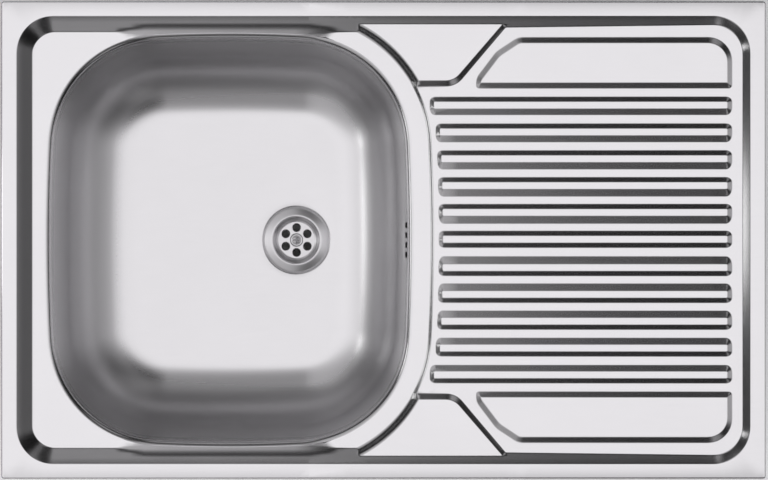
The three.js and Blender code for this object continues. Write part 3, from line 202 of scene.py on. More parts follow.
SLOT_COLUMNS = np.arange(4) - 1.5  # the slots' places, in pitches from the middle
SLOT_PITCH = 0.0104
SLOT_WIDTH = 0.006
SLOT_HEIGHT = 0.018
SLOT_DEPTH = 0.028  # of the slots' middle below the strip
SLOT_EDGE = 0.0012  # width of a slot's rounded edge
SLOT_EDGE_LINE = 0.0005  # distance of the line that the edge is sampled at
SLOT_EDGE_SINK = 0.0004
SLOT_MARGIN = (0.003, 0.0025)  # wall beside and above the slots that belongs to their patch

CAMERA_DISTANCE = 3.3
PHOTO_WIDTH_PX = 768
SINK_LENGTH_PX = 765
SINK_MIDDLE_PX = 383.5
FLOOR_GAP = 0.0005

# How finely the sheet is sampled.
LEAST_RADIUS = 0.0004  # of any rounded corner
LEAST_RIB_REACH = 0.0002  # of a rib's corners, in heights
HIDDEN_RADIUS = 0.001  # of a tap land's corners that lie in the wall
CORNER_ROOM = 0.48  # largest share of a side that the arc at its end may take
BEND_STEPS = 6
CORNER_STEPS = 8
RECESS_CORNER_STEPS = 16
RIM_CORNER_STEPS = 5
RIM_SIDE_PARTS = (80, 50)  # of the rim's long and short sides
BOWL_SIDE_STEPS = 13
BOWL_CORNER_STEPS = 30
BOWL_END_STEPS = 9
MOUTH_STEPS = 12
WALL_STEPS = 14
FLOOR_BEND_STEPS = 18
FLOOR_BEND_LEFT_OUT = 2  # of these, that the run to the waste takes over
FLOOR_STEPS = 24
ROUND_STEPS = 96  # round the waste's axis
SCREW_BORE_STEPS = 64
HOLE_STEPS = 40
HEAD_RINGS = 40  # from the pole to the edge of the strainer screw's head
CLAMP_ROUND_STEPS = 32
CLAMP_HEAD_RINGS = 14  # from the edge to the pole of a clamp screw's head
FACE_SIZE = 0.016
# Where the deck is sampled: heights on the ribs' and panels' flanks, distances inside the recess's
# top edge and inside a tap land's edge, and distances outside the strip round the bowl.
GUARD = 0.0004  # from a bend to the line beside it, which keeps the flat next to it flat
flank_bend = np.linspace(-PRESS_BEND, PRESS_BEND, 5)
FLANK_HEIGHTS = np.concatenate([[-PRESS_BEND - GUARD], flank_bend, flank_bend + RIB_HEIGHT,
                                [RIB_HEIGHT + PRESS_BEND + GUARD]])
wall_top = np.linspace(-RIM_BEND, RIM_BEND, 5) * RECESS_WALL_RUN
RECESS_INSETS = np.concatenate([[wall_top[0] - 2 * GUARD], wall_top,
                                np.arange(0.0062, 0.0182, 0.0005)])
LAND_INSETS = np.concatenate([np.arange(-0.0064, -0.0047, 0.0004), np.linspace(-0.0008, 0.0008, 7)])
STRIP_OUTSETS = np.arange(-0.0018, 0.0138, 0.0006)
STRIP_SIDE_REACH = 0.105  # how far left of the bowl's right side the strip's step is sampled
MOUTH_MARGIN = 0.00035  # that these lines keep from the line where the bowl starts
BORDER_MARGIN = 1e-5
PLAN_MERGE = 1e-4
WELD_DISTANCE = 5e-5
SHARP_ANGLE = math.radians(40)

# ---- outlines in plan


def arc(centre, radius, start, end, steps):
    """Points on a circle: centre plus radius times (cosine, sine) of angles in even steps."""
    angle = np.linspace(start, end, steps + 1)
    return np.stack([centre[0] + radius * np.cos(angle), centre[1] + radius * np.sin(angle)], 1)


def subdivided(points, spacing):
    """A closed line with straight stretches cut into equal parts no longer than the spacing."""
    spans = np.roll(points, -1, 0) - points
    counts = np.maximum(np.ceil(np.linalg.norm(spans, axis=1) / spacing), 1).astype(int)
    first = np.repeat(np.cumsum(counts) - counts, counts)
    share = (np.arange(counts.sum()) - first) / np.repeat(counts, counts)
    return np.repeat(points, counts, 0) + np.repeat(spans, counts, 0) * share[:, None]


def rounded_rectangle(half_x, half_y, radius, steps, centre=(0, 0)):
    """Four quarter circles, counter-clockwise, each centred a radius inside its corner."""
    radius = max(radius, LEAST_RADIUS)
    signs = ((1, 1), (-1, 1), (-1, -1), (1, -1))
    return np.vstack([
        arc((centre[0] + sx * (half_x - radius), centre[1] + sy * (half_y - radius)), radius,
            i * math.pi / 2, (i + 1) * math.pi / 2, steps)
        for i, (sx, sy) in enumerate(signs)])


def inset_corners(corners, inset):
    """Moves each side of a polygon (x, y, radius) inwards and meets neighbouring sides again."""
    corners = np.asarray(corners, float)
    direction = np.roll(corners[:, :2], -1, 0) - corners[:, :2]
    direction /= np.linalg.norm(direction, axis=1)[:, None]
    point = corners[:, :2] + inset * np.stack([-direction[:, 1], direction[:, 0]], 1)
    before, start = np.roll(direction, 1, 0), np.roll(point, 1, 0)
    cross = before[:, 0] * direction[:, 1] - before[:, 1] * direction[:, 0]
    gap = point - start
    along = (gap[:, 0] * direction[:, 1] - gap[:, 1] * direction[:, 0]) / cross
    moved = start + before * along[:, None]
    radius = np.maximum(corners[:, 2] - np.sign(cross) * inset, LEAST_RADIUS)
    return np.column_stack([moved, radius])


def rounded_polygon(corners):
    """Puts an arc tangent to both sides at each corner (x, y, radius) of a polygon."""
    corners = np.asarray(corners, float)
    arcs = []
    for i, (x, y, radius) in enumerate(corners):
        corner = np.array([x, y])
        before = corners[i - 1, :2] - corner
        after = corners[(i + 1) % len(corners), :2] - corner
        room = CORNER_ROOM * min(np.linalg.norm(before), np.linalg.norm(after))
        before, after = before / np.linalg.norm(before), after / np.linalg.norm(after)
        half = math.acos(np.clip(before @ after, -1, 1)) / 2
        tangent = min(radius / math.tan(half), room)
        middle = (before + after) / np.linalg.norm(before + after)
        centre = corner + middle * tangent * math.tan(half) / math.sin(half)
        first, last = corner + before * tangent - centre, corner + after * tangent - centre
        turn = math.atan2(first[0] * last[1] - first[1] * last[0], first @ last)
        start = math.atan2(first[1], first[0])
        arcs.append(arc(centre, np.linalg.norm(first), start, start + turn, CORNER_STEPS))
    return np.vstack(arcs)


side_centre = BOWL_LENGTH / 2 - BOWL_SIDE_BOW_RADIUS
end_centre = BOWL_WIDTH / 2 - BOWL_END_BOW_RADIUS


def bowl_corner():
    """Where the corner arc's centre lies: a corner radius inside both bowed sides' circles."""
    from_side = BOWL_SIDE_BOW_RADIUS - BOWL_CORNER_RADIUS
    from_end = BOWL_END_BOW_RADIUS - BOWL_CORNER_RADIUS
    apart = math.hypot(side_centre, end_centre)
    along = (from_side ** 2 - from_end ** 2 + apart ** 2) / (2 * apart)
    across = math.sqrt(from_side ** 2 - along ** 2)
    unit = (-side_centre / apart, end_centre / apart)
    return (side_centre + unit[0] * along - unit[1] * across, unit[1] * along + unit[0] * across)


corner_centre = bowl_corner()
side_angle = math.atan2(corner_centre[1], corner_centre[0] - side_centre)
end_angle = math.atan2(corner_centre[1] - end_centre, corner_centre[0])


def bowl_line(inset):
    """Eight tangent arcs, four bowed sides and four corners, each radius less the inset."""
    side = arc((side_centre, 0), BOWL_SIDE_BOW_RADIUS - inset, 0, side_angle, BOWL_SIDE_STEPS)
    corner = arc(corner_centre, BOWL_CORNER_RADIUS - inset, side_angle, end_angle,
                 BOWL_CORNER_STEPS)
    end = arc((0, end_centre), BOWL_END_BOW_RADIUS - inset, end_angle, math.pi / 2,
              BOWL_END_STEPS)
    quarter = np.vstack([side[:-1], corner, end[1:]])
    back = np.vstack([quarter, quarter[::-1][1:] * (-1, 1)])
    return np.vstack([back, back[::-1][1:-1] * (1, -1)]) + (BOWL_X, 0)


def bowl_outset(x, y):
    """Distance outside the bowl's mouth, from the arc in whose sector the mirrored point lies.
    Past the corners' centres a side's and an end's sector overlap, and the nearer arc counts."""
    across, along = np.abs(x - BOWL_X), np.abs(y)
    side = np.hypot(across - side_centre, along) - BOWL_SIDE_BOW_RADIUS
    end = np.hypot(across, along - end_centre) - BOWL_END_BOW_RADIUS
    corner = np.hypot(across - corner_centre[0], along - corner_centre[1]) - BOWL_CORNER_RADIUS
    by_side = np.arctan2(along, across - side_centre) < side_angle
    by_end = np.arctan2(along - end_centre, across) > end_angle
    nearer = np.where(by_side & by_end, np.maximum(side, end), np.where(by_side, side, end))
    return np.where(by_side | by_end, nearer, corner)


def inside_rounded(dx, dy, radius):
    """Distance inside a rectangle with round corners, from a point's distances past the lines on
    which the corners' centres lie."""
    outside = np.hypot(np.maximum(dx, 0), np.maximum(dy, 0))
    return radius - outside - np.minimum(np.maximum(dx, dy), 0)


def eased(share):
    """A smooth step: 3 s^2 - 2 s^3 of the share s, kept between 0 and 1."""
    share = np.clip(share, 0, 1)
    return share * share * (3 - 2 * share)


def inside_distance(x, y, outline):
    """Distance to the nearest side of an outline, counted negative outside it."""
    starts, ends = outline, np.roll(outline, -1, 0)
    span = ends - starts
    length = np.maximum((span ** 2).sum(1), 1e-16)
    dx, dy = x[:, None] - starts[:, 0], y[:, None] - starts[:, 1]
    share = np.clip((dx * span[:, 0] + dy * span[:, 1]) / length, 0, 1)
    near = np.hypot(dx - share * span[:, 0], dy - share * span[:, 1]).min(1)
    above = starts[:, 1] > y[:, None]
    crosses = above != (ends[:, 1] > y[:, None])
    level = np.where(np.abs(span[:, 1]) < 1e-12, 1, span[:, 1])
    at = starts[:, 0] + dy / level * span[:, 0]
    inside = (crosses & (x[:, None] < at)).sum(1) % 2 == 1
    return np.where(inside, near, -near)


# ---- the pressed surface


def lower(a, b, bend):
    """The lower of two heights, rounded where they come within the bend of each other."""
    blend = np.maximum(bend - np.abs(a - b), 0) / bend
    return np.minimum(a, b) - blend ** 2 * bend / 4


def higher(a, b, bend):
    """The higher of two heights, rounded in the same way."""
    return -lower(-np.asarray(a), -np.asarray(b), bend)


def drainer_level(x):
    """The drainer's plane, which falls evenly from its end to the strip round the bowl."""
    share = (DRAINER_END_X - x) / (DRAINER_END_X - DRAINER_START_X)
    return RIM_HEIGHT - DRAINER_END_DROP - share * (DRAINER_BOWL_DROP - DRAINER_END_DROP)


def rib_sides(index):
    """A rib's foot as its right and left ends and its outer and inner edges, each with the run of
    its flank, positive where the flank faces +X or +Y. The inner edge faces the middle rib, whose
    two flanks are both as steep as an outer one."""
    y = (index - (RIB_COUNT - 1) / 2) * RIB_PITCH
    outset = STRIP_WIDTH + (DRAINER_BOWL_DROP - DRAINER_END_DROP) * PRESS_RUN
    rise = max(abs(y) - corner_centre[1], 0)
    bulge = math.sqrt((BOWL_CORNER_RADIUS + outset) ** 2 - rise ** 2)
    bowed = side_centre + math.sqrt((BOWL_SIDE_BOW_RADIUS + outset) ** 2 - y ** 2)
    edge = bowed if abs(y) < corner_centre[1] else corner_centre[0] + bulge
    left = BOWL_X + edge + RIB_STRIP_GAP + RIB_HEIGHT * (PRESS_RUN - RIB_LEFT_RUN)
    away = abs(index - (RIB_COUNT - 1) // 2)
    inner = RIB_INNER_RUN - RIB_INNER_RUN_FALL * (away - 1) if away else RIB_OUTER_RUN
    side = -1 if y < 0 else 1
    outer_edge = y + side * RIB_WIDTH / 2
    inner_edge = outer_edge - side * (RIB_TOP_WIDTH + RIB_HEIGHT * (RIB_OUTER_RUN + inner))
    return (((RIB_END_X, PRESS_RUN), (left, -RIB_LEFT_RUN)),
            ((outer_edge, side * RIB_OUTER_RUN), (inner_edge, -side * inner)))


def rib_line(index, height):
    """A rib's outline at a height on its flanks: each side moved in by its run for each metre of
    height, and each corner a quarter of an ellipse whose axes are as the runs of its two sides."""
    ends, edges = rib_sides(index)
    reach = max(RIB_CORNER - height, LEAST_RIB_REACH)
    angle = np.linspace(0, math.pi / 2, BEND_STEPS + 1)
    depths = [height + reach - reach * share for share in (np.cos(angle), np.sin(angle))]
    corners = []
    for end, edge in ((0, 0), (1, 0), (1, 1), (0, 1)):
        (x, x_run), (y, y_run) = ends[end], edges[edge]
        corners.append(np.stack([x - depths[0] * x_run, y - depths[1] * y_run], 1))
        depths.reverse()
    line = np.vstack(corners)
    return line if edges[0][0] > edges[1][0] else line[::-1]


def rib_height(x, y, index):
    """Height of a rib's flanks: in heights, the distance inside a rectangle with round corners."""
    along, across = [np.minimum(*((place - at) / run for place, run in sides))
                     for at, sides in zip((x, y), rib_sides(index))]
    return inside_rounded(RIB_CORNER - along, RIB_CORNER - across, RIB_CORNER)


def mirrored(corners, side):
    """The corners as they are at the back, or mirrored to the front in the same turning sense."""
    corners = np.asarray(corners, float)
    return corners if side > 0 else (corners * (1, -1, 1))[::-1]


def panel_line(side, inset):
    """A raised panel's outline, moved inwards from its foot."""
    curve = [(PANEL_LEFT + across * PANEL_WIDTH, PANEL_INNER_Y + along * PANEL_WIDTH,
              radius * PANEL_WIDTH) for across, along, radius in PANEL_CURVE]
    corners = [(RIB_END_X, PANEL_INNER_Y, RIB_END_RADIUS),
               (RIB_END_X, PANEL_OUTER_Y, PANEL_OUTER_RADIUS), *curve,
               (PANEL_LEFT, PANEL_INNER_Y, RIB_END_RADIUS)]
    return rounded_polygon(inset_corners(mirrored(corners, side), inset))


def tap_land_line(side, inset):
    """A tap land's flat, moved inwards from its edge. Two of its corners lie inside the wall."""
    inner = RECESS_HALF_WIDTH - TAP_LAND_WIDTH
    outer = RECESS_HALF_WIDTH + RIM_FLAT / 2
    hidden = BOWL_RIGHT - BOWL_CORNER_RADIUS
    corners = [(hidden, inner, HIDDEN_RADIUS), (TAP_LAND_RIGHT, inner, TAP_LAND_CORNER_RADIUS),
               (TAP_LAND_RIGHT + TAP_LAND_SPLAY * (outer - inner), outer, HIDDEN_RADIUS),
               (hidden, outer, HIDDEN_RADIUS)]
    return rounded_polygon(inset_corners(mirrored(corners, side), inset))


def recess_line(inset):
    """The top edge of the recess, moved inwards."""
    return rounded_rectangle(RECESS_HALF_LENGTH - inset, RECESS_HALF_WIDTH - inset,
                             RECESS_CORNER_RADIUS - inset, RECESS_CORNER_STEPS)


def recess_inset(x, y):
    """Distance inside the recess's top edge."""
    return inside_rounded(np.abs(x) - (RECESS_HALF_LENGTH - RECESS_CORNER_RADIUS),
                          np.abs(y) - (RECESS_HALF_WIDTH - RECESS_CORNER_RADIUS),
                          RECESS_CORNER_RADIUS)


def raised_level(x, y):
    """The drainer with its ribs, panels and tap lands: the highest of them at each point."""
    plane = drainer_level(x)
    level = plane.copy()
    for index in range(RIB_COUNT):
        (outer, _), (inner, _) = rib_sides(index)[1]
        near = np.abs(y - (inner + outer) / 2) < RIB_WIDTH
        rib = plane[near] + lower(RIB_HEIGHT, rib_height(x[near], y[near], index), PRESS_BEND)
        level[near] = higher(level[near], rib, PRESS_BEND)
    for side in (1, -1):
        inside = inside_distance(x, y, panel_line(side, 0))
        panel = plane + lower(RIB_HEIGHT, inside / PRESS_RUN, PRESS_BEND)
        land = inside_distance(x, y, tap_land_line(side, 0))
        land = TAP_LAND_Z + lower(0, land / PRESS_RUN, PRESS_BEND)
        level = higher(higher(level, panel, PRESS_BEND), land, PRESS_BEND)
    return level


def deck_level(x, y):
    """Height of the sheet outside the bowl. The raised forms start from the strip round the bowl by
    a smooth step as wide as their height there times STRIP_RUN; the recess wall and the rim close
    it."""
    rise = raised_level(x, y) - STRIP_Z
    step = eased((bowl_outset(x, y) - STRIP_WIDTH) / np.maximum(rise * STRIP_RUN, 1e-6))
    level = STRIP_Z + np.where(x > BOWL_X, rise * step, 0)
    wall = lower(RIM_HEIGHT, RIM_HEIGHT - recess_inset(x, y) / RECESS_WALL_RUN, RIM_BEND)
    gap = np.maximum(bowl_outset(x, y), 0) + np.maximum(recess_inset(x, y), 0)
    close = eased((BOWL_FOOT_REACH - gap) / (BOWL_FOOT_REACH - BOWL_FOOT_NEAR))
    return higher(level, wall, FOOT_BEND + (BOWL_FOOT_BEND - FOOT_BEND) * close)


# ---- meshes


def new_piece(name, vertices, faces):
    """An object at the origin with the given corners and faces, all smooth."""
    mesh = bpy.data.meshes.new(name)
    mesh.from_pydata(vertices.tolist(), [], faces)
    mesh.validate()
    mesh.polygons.foreach_set("use_smooth", np.ones(len(mesh.polygons), bool))
    piece = bpy.data.objects.new(name, mesh)
    bpy.context.scene.collection.objects.link(piece)
    return piece


def grid_faces(rings, around):
    """Quads between neighbouring closed rings, numbered ring by ring."""
    ring, step = np.meshgrid(np.arange(rings - 1), np.arange(around), indexing="ij")
    a, b = ring * around + step, ring * around + (step + 1) % around
    return np.stack([a, b, b + around, a + around], -1).reshape(-1, 4)


def filled(keep, loops, open_lines=()):
    """Triangles between lines in plan: the points, and the triangles whose middle keep() takes."""
    points, edges = [], []
    count = 0
    for closed, lines in ((True, loops), (False, open_lines)):
        for line in lines:
            index = np.arange(len(line)) + count
            pairs = np.stack([index, np.roll(index, -1)], 1)
            edges.append(pairs if closed else pairs[:-1])
            points.append(line)
            count += len(line)
    found = delaunay_2d_cdt(np.vstack(points).tolist(), np.vstack(edges).tolist(), [], 0,
                            PLAN_MERGE, False)
    plan = np.array([(p.x, p.y) for p in found[0]])
    triangles = np.array(found[2])
    middle = plan[triangles].mean(1)
    return plan, triangles[keep(middle[:, 0], middle[:, 1])]


def applied(piece):
    """Applies the piece's modifiers, and marks its sharp edges."""
    bpy.context.view_layer.update()
    graph = bpy.context.evaluated_depsgraph_get()
    mesh = bpy.data.meshes.new_from_object(piece.evaluated_get(graph))
    piece.modifiers.clear()
    piece.data = mesh
    mesh.polygons.foreach_set("use_smooth", np.ones(len(mesh.polygons), bool))
    mesh.set_sharp_from_angle(angle=SHARP_ANGLE)
    return piece


def thickened(piece, thickness):
    """Welds the sheet's patches and gives it its thickness below its upper face."""
    weld = piece.modifiers.new("weld", "WELD")
    weld.merge_threshold = WELD_DISTANCE
    sheet = piece.modifiers.new("sheet", "SOLIDIFY")
    sheet.thickness = thickness
    sheet.offset = -1
    return applied(piece)


def joined(name, patches):
    """One piece of several patches of a surface, each with its points and faces."""
    vertices, faces = zip(*patches)
    first = np.cumsum([0, *map(len, vertices)])
    faces = [face for part, start in zip(faces, first) for face in (part + start).tolist()]
    return new_piece(name, np.vstack(vertices), faces)


# ---- sink sheet

steepest = math.pi / 2 - BOWL_DRAFT
wall_depth = BOWL_DEPTH - BOWL_FLOOR_FALL
mouth_tangent = BOWL_MOUTH_RADIUS * math.tan(steepest / 2)
floor_tangent = BOWL_FLOOR_RADIUS * math.tan(steepest / 2)
wall_foot_inset = wall_depth * math.tan(BOWL_DRAFT)
floor_edge_inset = wall_foot_inset + floor_tangent


def bowl_section():
    """The bowl's wall as (inset, depth, share of the floor's tilt): a circular bend at the mouth,
    the straight drafted wall and the large circular bend into the floor."""
    slope = np.linspace(0, steepest, MOUTH_STEPS + 1)
    mouth = np.stack([-mouth_tangent + BOWL_MOUTH_RADIUS * np.sin(slope),
                      BOWL_MOUTH_RADIUS * (1 - np.cos(slope)), 0 * slope], 1)
    slope = np.linspace(steepest, 0, FLOOR_BEND_STEPS + 1)
    height = BOWL_FLOOR_RADIUS * (1 - np.cos(slope))
    floor = np.stack([floor_edge_inset - BOWL_FLOOR_RADIUS * np.sin(slope),
                      wall_depth - height, 1 - height / height[0]], 1)
    share = np.linspace(0, 1, WALL_STEPS + 1)[1:-1, None]
    wall = mouth[-1] + (floor[0] - mouth[-1]) * share
    return np.vstack([mouth, wall, floor])


def floor_tilt(x):
    """How far the floor's edge has fallen: evenly from the left to the right, beside the waste."""
    left, right = BOWL_LEFT + floor_edge_inset, BOWL_RIGHT - floor_edge_inset
    return BOWL_FLOOR_TILT * (x - left) / (right - left)


def floor_level(x, y):
    """Height of the bowl's bend and floor. Round the waste the floor falls on to its lowest level:
    by the share w of the way from the floor's edge to the waste's hole, as w * w * (2 - w)."""
    section = bowl_section()
    inset = -bowl_outset(x, y)
    depth = np.interp(inset, section[:, 0], section[:, 1])
    share = np.interp(inset, section[:, 0], section[:, 2])
    edge = STRIP_Z - depth - share * floor_tilt(x)
    radius = np.hypot(x - WASTE_X, y)
    past_edge = np.maximum(inset - floor_edge_inset, 0)
    way = past_edge / (past_edge + np.maximum(radius - WASTE_HOLE_RADIUS, 0) + 1e-9)
    return edge + (STRIP_Z - BOWL_DEPTH - edge) * way * way * (2 - way)


def rim_line(inset):
    """The sink's outline, moved inwards, with its sides cut into short parts."""
    corners = rounded_rectangle(HALF_LENGTH - inset, HALF_WIDTH - inset,
                                RIM_CORNER_RADIUS - inset, RIM_CORNER_STEPS).reshape(4, -1, 2)
    line = []
    for corner, following, parts in zip(corners, np.roll(corners, -1, 0), RIM_SIDE_PARTS * 2):
        share = np.linspace(0, 1, parts + 1)[1:-1, None]
        line += [corner, corner[-1] + (following[0] - corner[-1]) * share]
    return np.vstack(line)


def stretches(line, shown):
    """The stretches of a closed line whose points are shown."""
    if shown.all():
        return [np.vstack([line, line[:1]])]
    if not shown.any():
        return []
    first = np.flatnonzero(shown & ~np.roll(shown, 1))[0]
    line, shown = np.roll(line, -first, 0), np.roll(shown, -first)
    starts = np.flatnonzero(shown & ~np.roll(shown, 1))
    ends = np.flatnonzero(shown & ~np.roll(shown, -1)) + 1
    return [line[start:end] for start, end in zip(starts, ends) if end - start > 1]


def deck_lines():
    """Every line that the flat part of the sheet is sampled along, in plan: its two borders, and
    lines that follow each bend of the recess wall, the ribs, panels, tap lands and strip. They stay
    clear of the bowl's mouth and of the rim's flat."""
    followed = [recess_line(inset) for inset in RECESS_INSETS]
    followed += [rib_line(index, height) for index in range(RIB_COUNT) for height in FLANK_HEIGHTS]
    for side in (1, -1):
        followed += [panel_line(side, height * PRESS_RUN) for height in FLANK_HEIGHTS]
        followed += [tap_land_line(side, inset) for inset in LAND_INSETS]
    lines = []
    for line in [subdivided(line, FACE_SIZE) for line in followed]:
        off_bowl = bowl_outset(*line.T) > mouth_tangent + MOUTH_MARGIN
        lines += stretches(line, off_bowl & (recess_inset(*line.T) > -RIM_FLAT / 3))
    for line in [bowl_line(-(STRIP_WIDTH + outset)) for outset in STRIP_OUTSETS]:
        lines += stretches(line, line[:, 0] > BOWL_RIGHT - STRIP_SIDE_REACH)
    return [rim_line(RIM_EDGE_RADIUS), bowl_line(-mouth_tangent)], lines


def on_deck(x, y):
    """True between the rim's straight sides and the bowl's mouth."""
    edge = RIM_EDGE_RADIUS + BORDER_MARGIN
    within_rim = (np.abs(x) < HALF_LENGTH - edge) & (np.abs(y) < HALF_WIDTH - edge)
    return within_rim & (bowl_outset(x, y) > mouth_tangent)


def at_level(plan, level):
    """Points in plan put at one level, or each at its own."""
    return np.column_stack([plan, np.broadcast_to(level, len(plan))])


def rim_lip():
    """The rim's outer edge: a quarter circle from the flat, then straight down to the worktop."""
    turn = np.linspace(math.pi / 2, 0, BEND_STEPS + 1)
    inset = RIM_EDGE_RADIUS * (1 - np.cos(turn))
    level = RIM_HEIGHT - RIM_EDGE_RADIUS * (1 - np.sin(turn))
    profile = [*zip(inset, level), (0, (RIM_HEIGHT - RIM_EDGE_RADIUS) / 2), (0, LIP_FOOT)]
    rings = [at_level(rim_line(i), z) for i, z in profile[::-1]]
    return np.vstack(rings), grid_faces(len(rings), len(rings[0]))


def wall_x(y, inset):
    """Where the bowl's bowed right wall stands at an inset."""
    return BOWL_X + side_centre + np.sqrt((BOWL_SIDE_BOW_RADIUS - inset) ** 2 - y ** 2)


def slot_lines(grow):
    """The overflow's slots, as (y, depth) outlines with round ends, grown by a width."""
    radius = SLOT_WIDTH / 2 + grow
    return [rounded_rectangle(radius, SLOT_HEIGHT / 2 + grow, radius, CORNER_STEPS,
                              (column * SLOT_PITCH, SLOT_DEPTH)) for column in SLOT_COLUMNS]


def slot_distance(y, depth):
    """Distance outside the nearest slot's edge, counted negative inside it: how far its middle line
    is away, less half its width."""
    across = np.abs(y[:, None] - SLOT_COLUMNS * SLOT_PITCH).min(1)
    along = np.maximum(np.abs(depth - SLOT_DEPTH) - (SLOT_HEIGHT - SLOT_WIDTH) / 2, 0)
    return np.hypot(across, along) - SLOT_WIDTH / 2


def bowl_rings():
    """The bowl as rings of points. Each wall ring is the mouth's line moved inwards. From partway
    down the floor's bend each point runs straight to the same bearing on the waste seat's circle.
    The seat's flank, WASTE_SEAT_RUN metres in for each metre down, is bent by parabolas at its top
    and foot."""
    rings = []
    section = bowl_section()
    for inset, depth, share in section[:len(section) - FLOOR_BEND_LEFT_OUT]:
        plan = bowl_line(inset)
        lift = deck_level(*plan.T) - STRIP_Z if depth < BOWL_MOUTH_RADIUS else 0
        rings.append(at_level(plan, STRIP_Z - depth - share * floor_tilt(plan[:, 0]) + lift))
    edge = rings[-1]
    bearing = np.arctan2(edge[:, 1], edge[:, 0] - WASTE_X)
    unit = np.stack([np.cos(bearing), np.sin(bearing)], 1)

    def seat_ring(radius):
        return unit * np.broadcast_to(radius, len(unit))[:, None] + WASTE_PLACE[:2]

    level = floor_level(*seat_ring(WASTE_SEAT_RADIUS + WASTE_SEAT_REACH).T)
    top_radius = WASTE_SEAT_RADIUS + (level - WASTE_SEAT_Z) * WASTE_SEAT_RUN
    target = seat_ring(top_radius + WASTE_SEAT_BEND)
    for share in np.linspace(0, 1, FLOOR_STEPS + 1)[1:]:
        plan = edge[:, :2] + (target - edge[:, :2]) * share
        rings.append(at_level(plan, floor_level(*plan.T)))
    top = rings[-1][:, 2]
    bend = np.linspace(WASTE_SEAT_BEND, -WASTE_SEAT_BEND, BEND_STEPS + 1)
    fall = (bend - bend[0]) ** 2 / (4 * WASTE_SEAT_BEND * WASTE_SEAT_RUN)
    rings += [at_level(seat_ring(top_radius + along), top - drop)
              for along, drop in zip(bend[1:], fall[1:])]
    rings += [at_level(seat_ring(WASTE_SEAT_RADIUS + along), WASTE_SEAT_Z + rise)
              for along, rise in zip(bend, fall[::-1])]
    return [*rings, at_level(seat_ring(WASTE_HOLE_RADIUS), WASTE_SEAT_Z)]


def slot_patch(section, first, last, column):
    """The piece of wall that holds the slots, triangulated in (y, depth) round their outlines and
    put on the wall, so that its border meets the grid's own corners. The slots' edges are sunk by
    the square of the share of the edge's width."""
    inset, depth = section[first:last + 1, :2].T
    ring_y = [bowl_line(i)[:column + 1, 1] for i in inset]
    edge_y = np.array([ys[-1] for ys in ring_y])
    top, bottom = [at_level(np.concatenate([-ys[:0:-1], ys])[:, None], level)
                   for ys, level in ((ring_y[0], depth[0]), (ring_y[-1], depth[-1]))]
    right = np.column_stack([edge_y, depth])[1:-1]
    border = np.vstack([top, right, bottom[::-1], right[::-1] * (-1, 1)])
    lines = [line for grow in (0, SLOT_EDGE_LINE, SLOT_EDGE) for line in slot_lines(grow)]

    def on_wall(y, below):
        within = np.abs(y) < np.interp(below, depth, edge_y) - 1e-6
        return (slot_distance(y, below) >= 0) & within

    plan, triangles = filled(on_wall, [border, *lines])
    y, below = plan.T
    edge = np.clip(1 - np.maximum(slot_distance(y, below), 0) / SLOT_EDGE, 0, 1)
    x = wall_x(y, np.interp(below, depth, inset)) + edge ** 2 * SLOT_EDGE_SINK
    return np.column_stack([x, y, STRIP_Z - below]), triangles


def sink_sheet():
    """The pressed sheet: deck, lip, bowl and the wall round the slots, welded and thickened."""
    plan, triangles = filled(on_deck, *deck_lines())
    deck = at_level(plan, deck_level(*plan.T)), triangles
    section = bowl_section()
    rings = bowl_rings()
    around = len(rings[0])
    faces = grid_faces(len(rings), around)[:, ::-1]
    depths = section[:, 1]
    reach = SLOT_HEIGHT / 2 + SLOT_MARGIN[1]
    first = np.flatnonzero(depths < SLOT_DEPTH - reach)[-1]
    last = np.flatnonzero(depths > SLOT_DEPTH + reach)[0]
    half_span = SLOT_COLUMNS[-1] * SLOT_PITCH + SLOT_WIDTH / 2 + SLOT_MARGIN[0]
    column = int(np.flatnonzero(rings[0][:around // 4, 1] > half_span)[0])
    ring, step = np.divmod(np.arange(len(faces)), around)
    near = (step < column) | (step >= around - column)
    bowl = np.vstack(rings), faces[~(near & (ring >= first) & (ring < last))]
    patches = (deck, rim_lip(), bowl, slot_patch(section, first, last, column))
    return thickened(joined("sink_sheet", patches), SHEET)


# ---- waste


def ring_unit(around):
    """The angles of a ring's points, and their directions."""
    angle = np.arange(around) * 2 * math.pi / around
    return angle, np.stack([np.cos(angle), np.sin(angle)], 1)


def hole_centres():
    """The holes, in even steps round the strainer's middle, from the back."""
    return ring_unit(STRAINER_HOLES)[1][:, ::-1] * (-STRAINER_HOLE_CIRCLE, STRAINER_HOLE_CIRCLE)


def hole_distance(plan):
    """Distance from the middle of the nearest hole."""
    return np.hypot(*(plan[:, None] - hole_centres()).transpose(2, 0, 1)).min(1)


def plate_level(plan):
    """The plate is flat, rounded down by a quarter circle at each hole and sunk round the screw by
    a smooth step."""
    past_hole = (hole_distance(plan) - STRAINER_HOLE_RADIUS) / STRAINER_HOLE_EDGE
    rounding = STRAINER_HOLE_EDGE * (1 - np.sqrt(1 - np.clip(1 - past_hole, 0, 1) ** 2))
    sunk = eased((DIMPLE_RADIUS + DIMPLE_STEP - np.hypot(*plan.T)) / DIMPLE_STEP)
    return STRAINER_PLATE_Z - rounding - DIMPLE_DEPTH * sunk


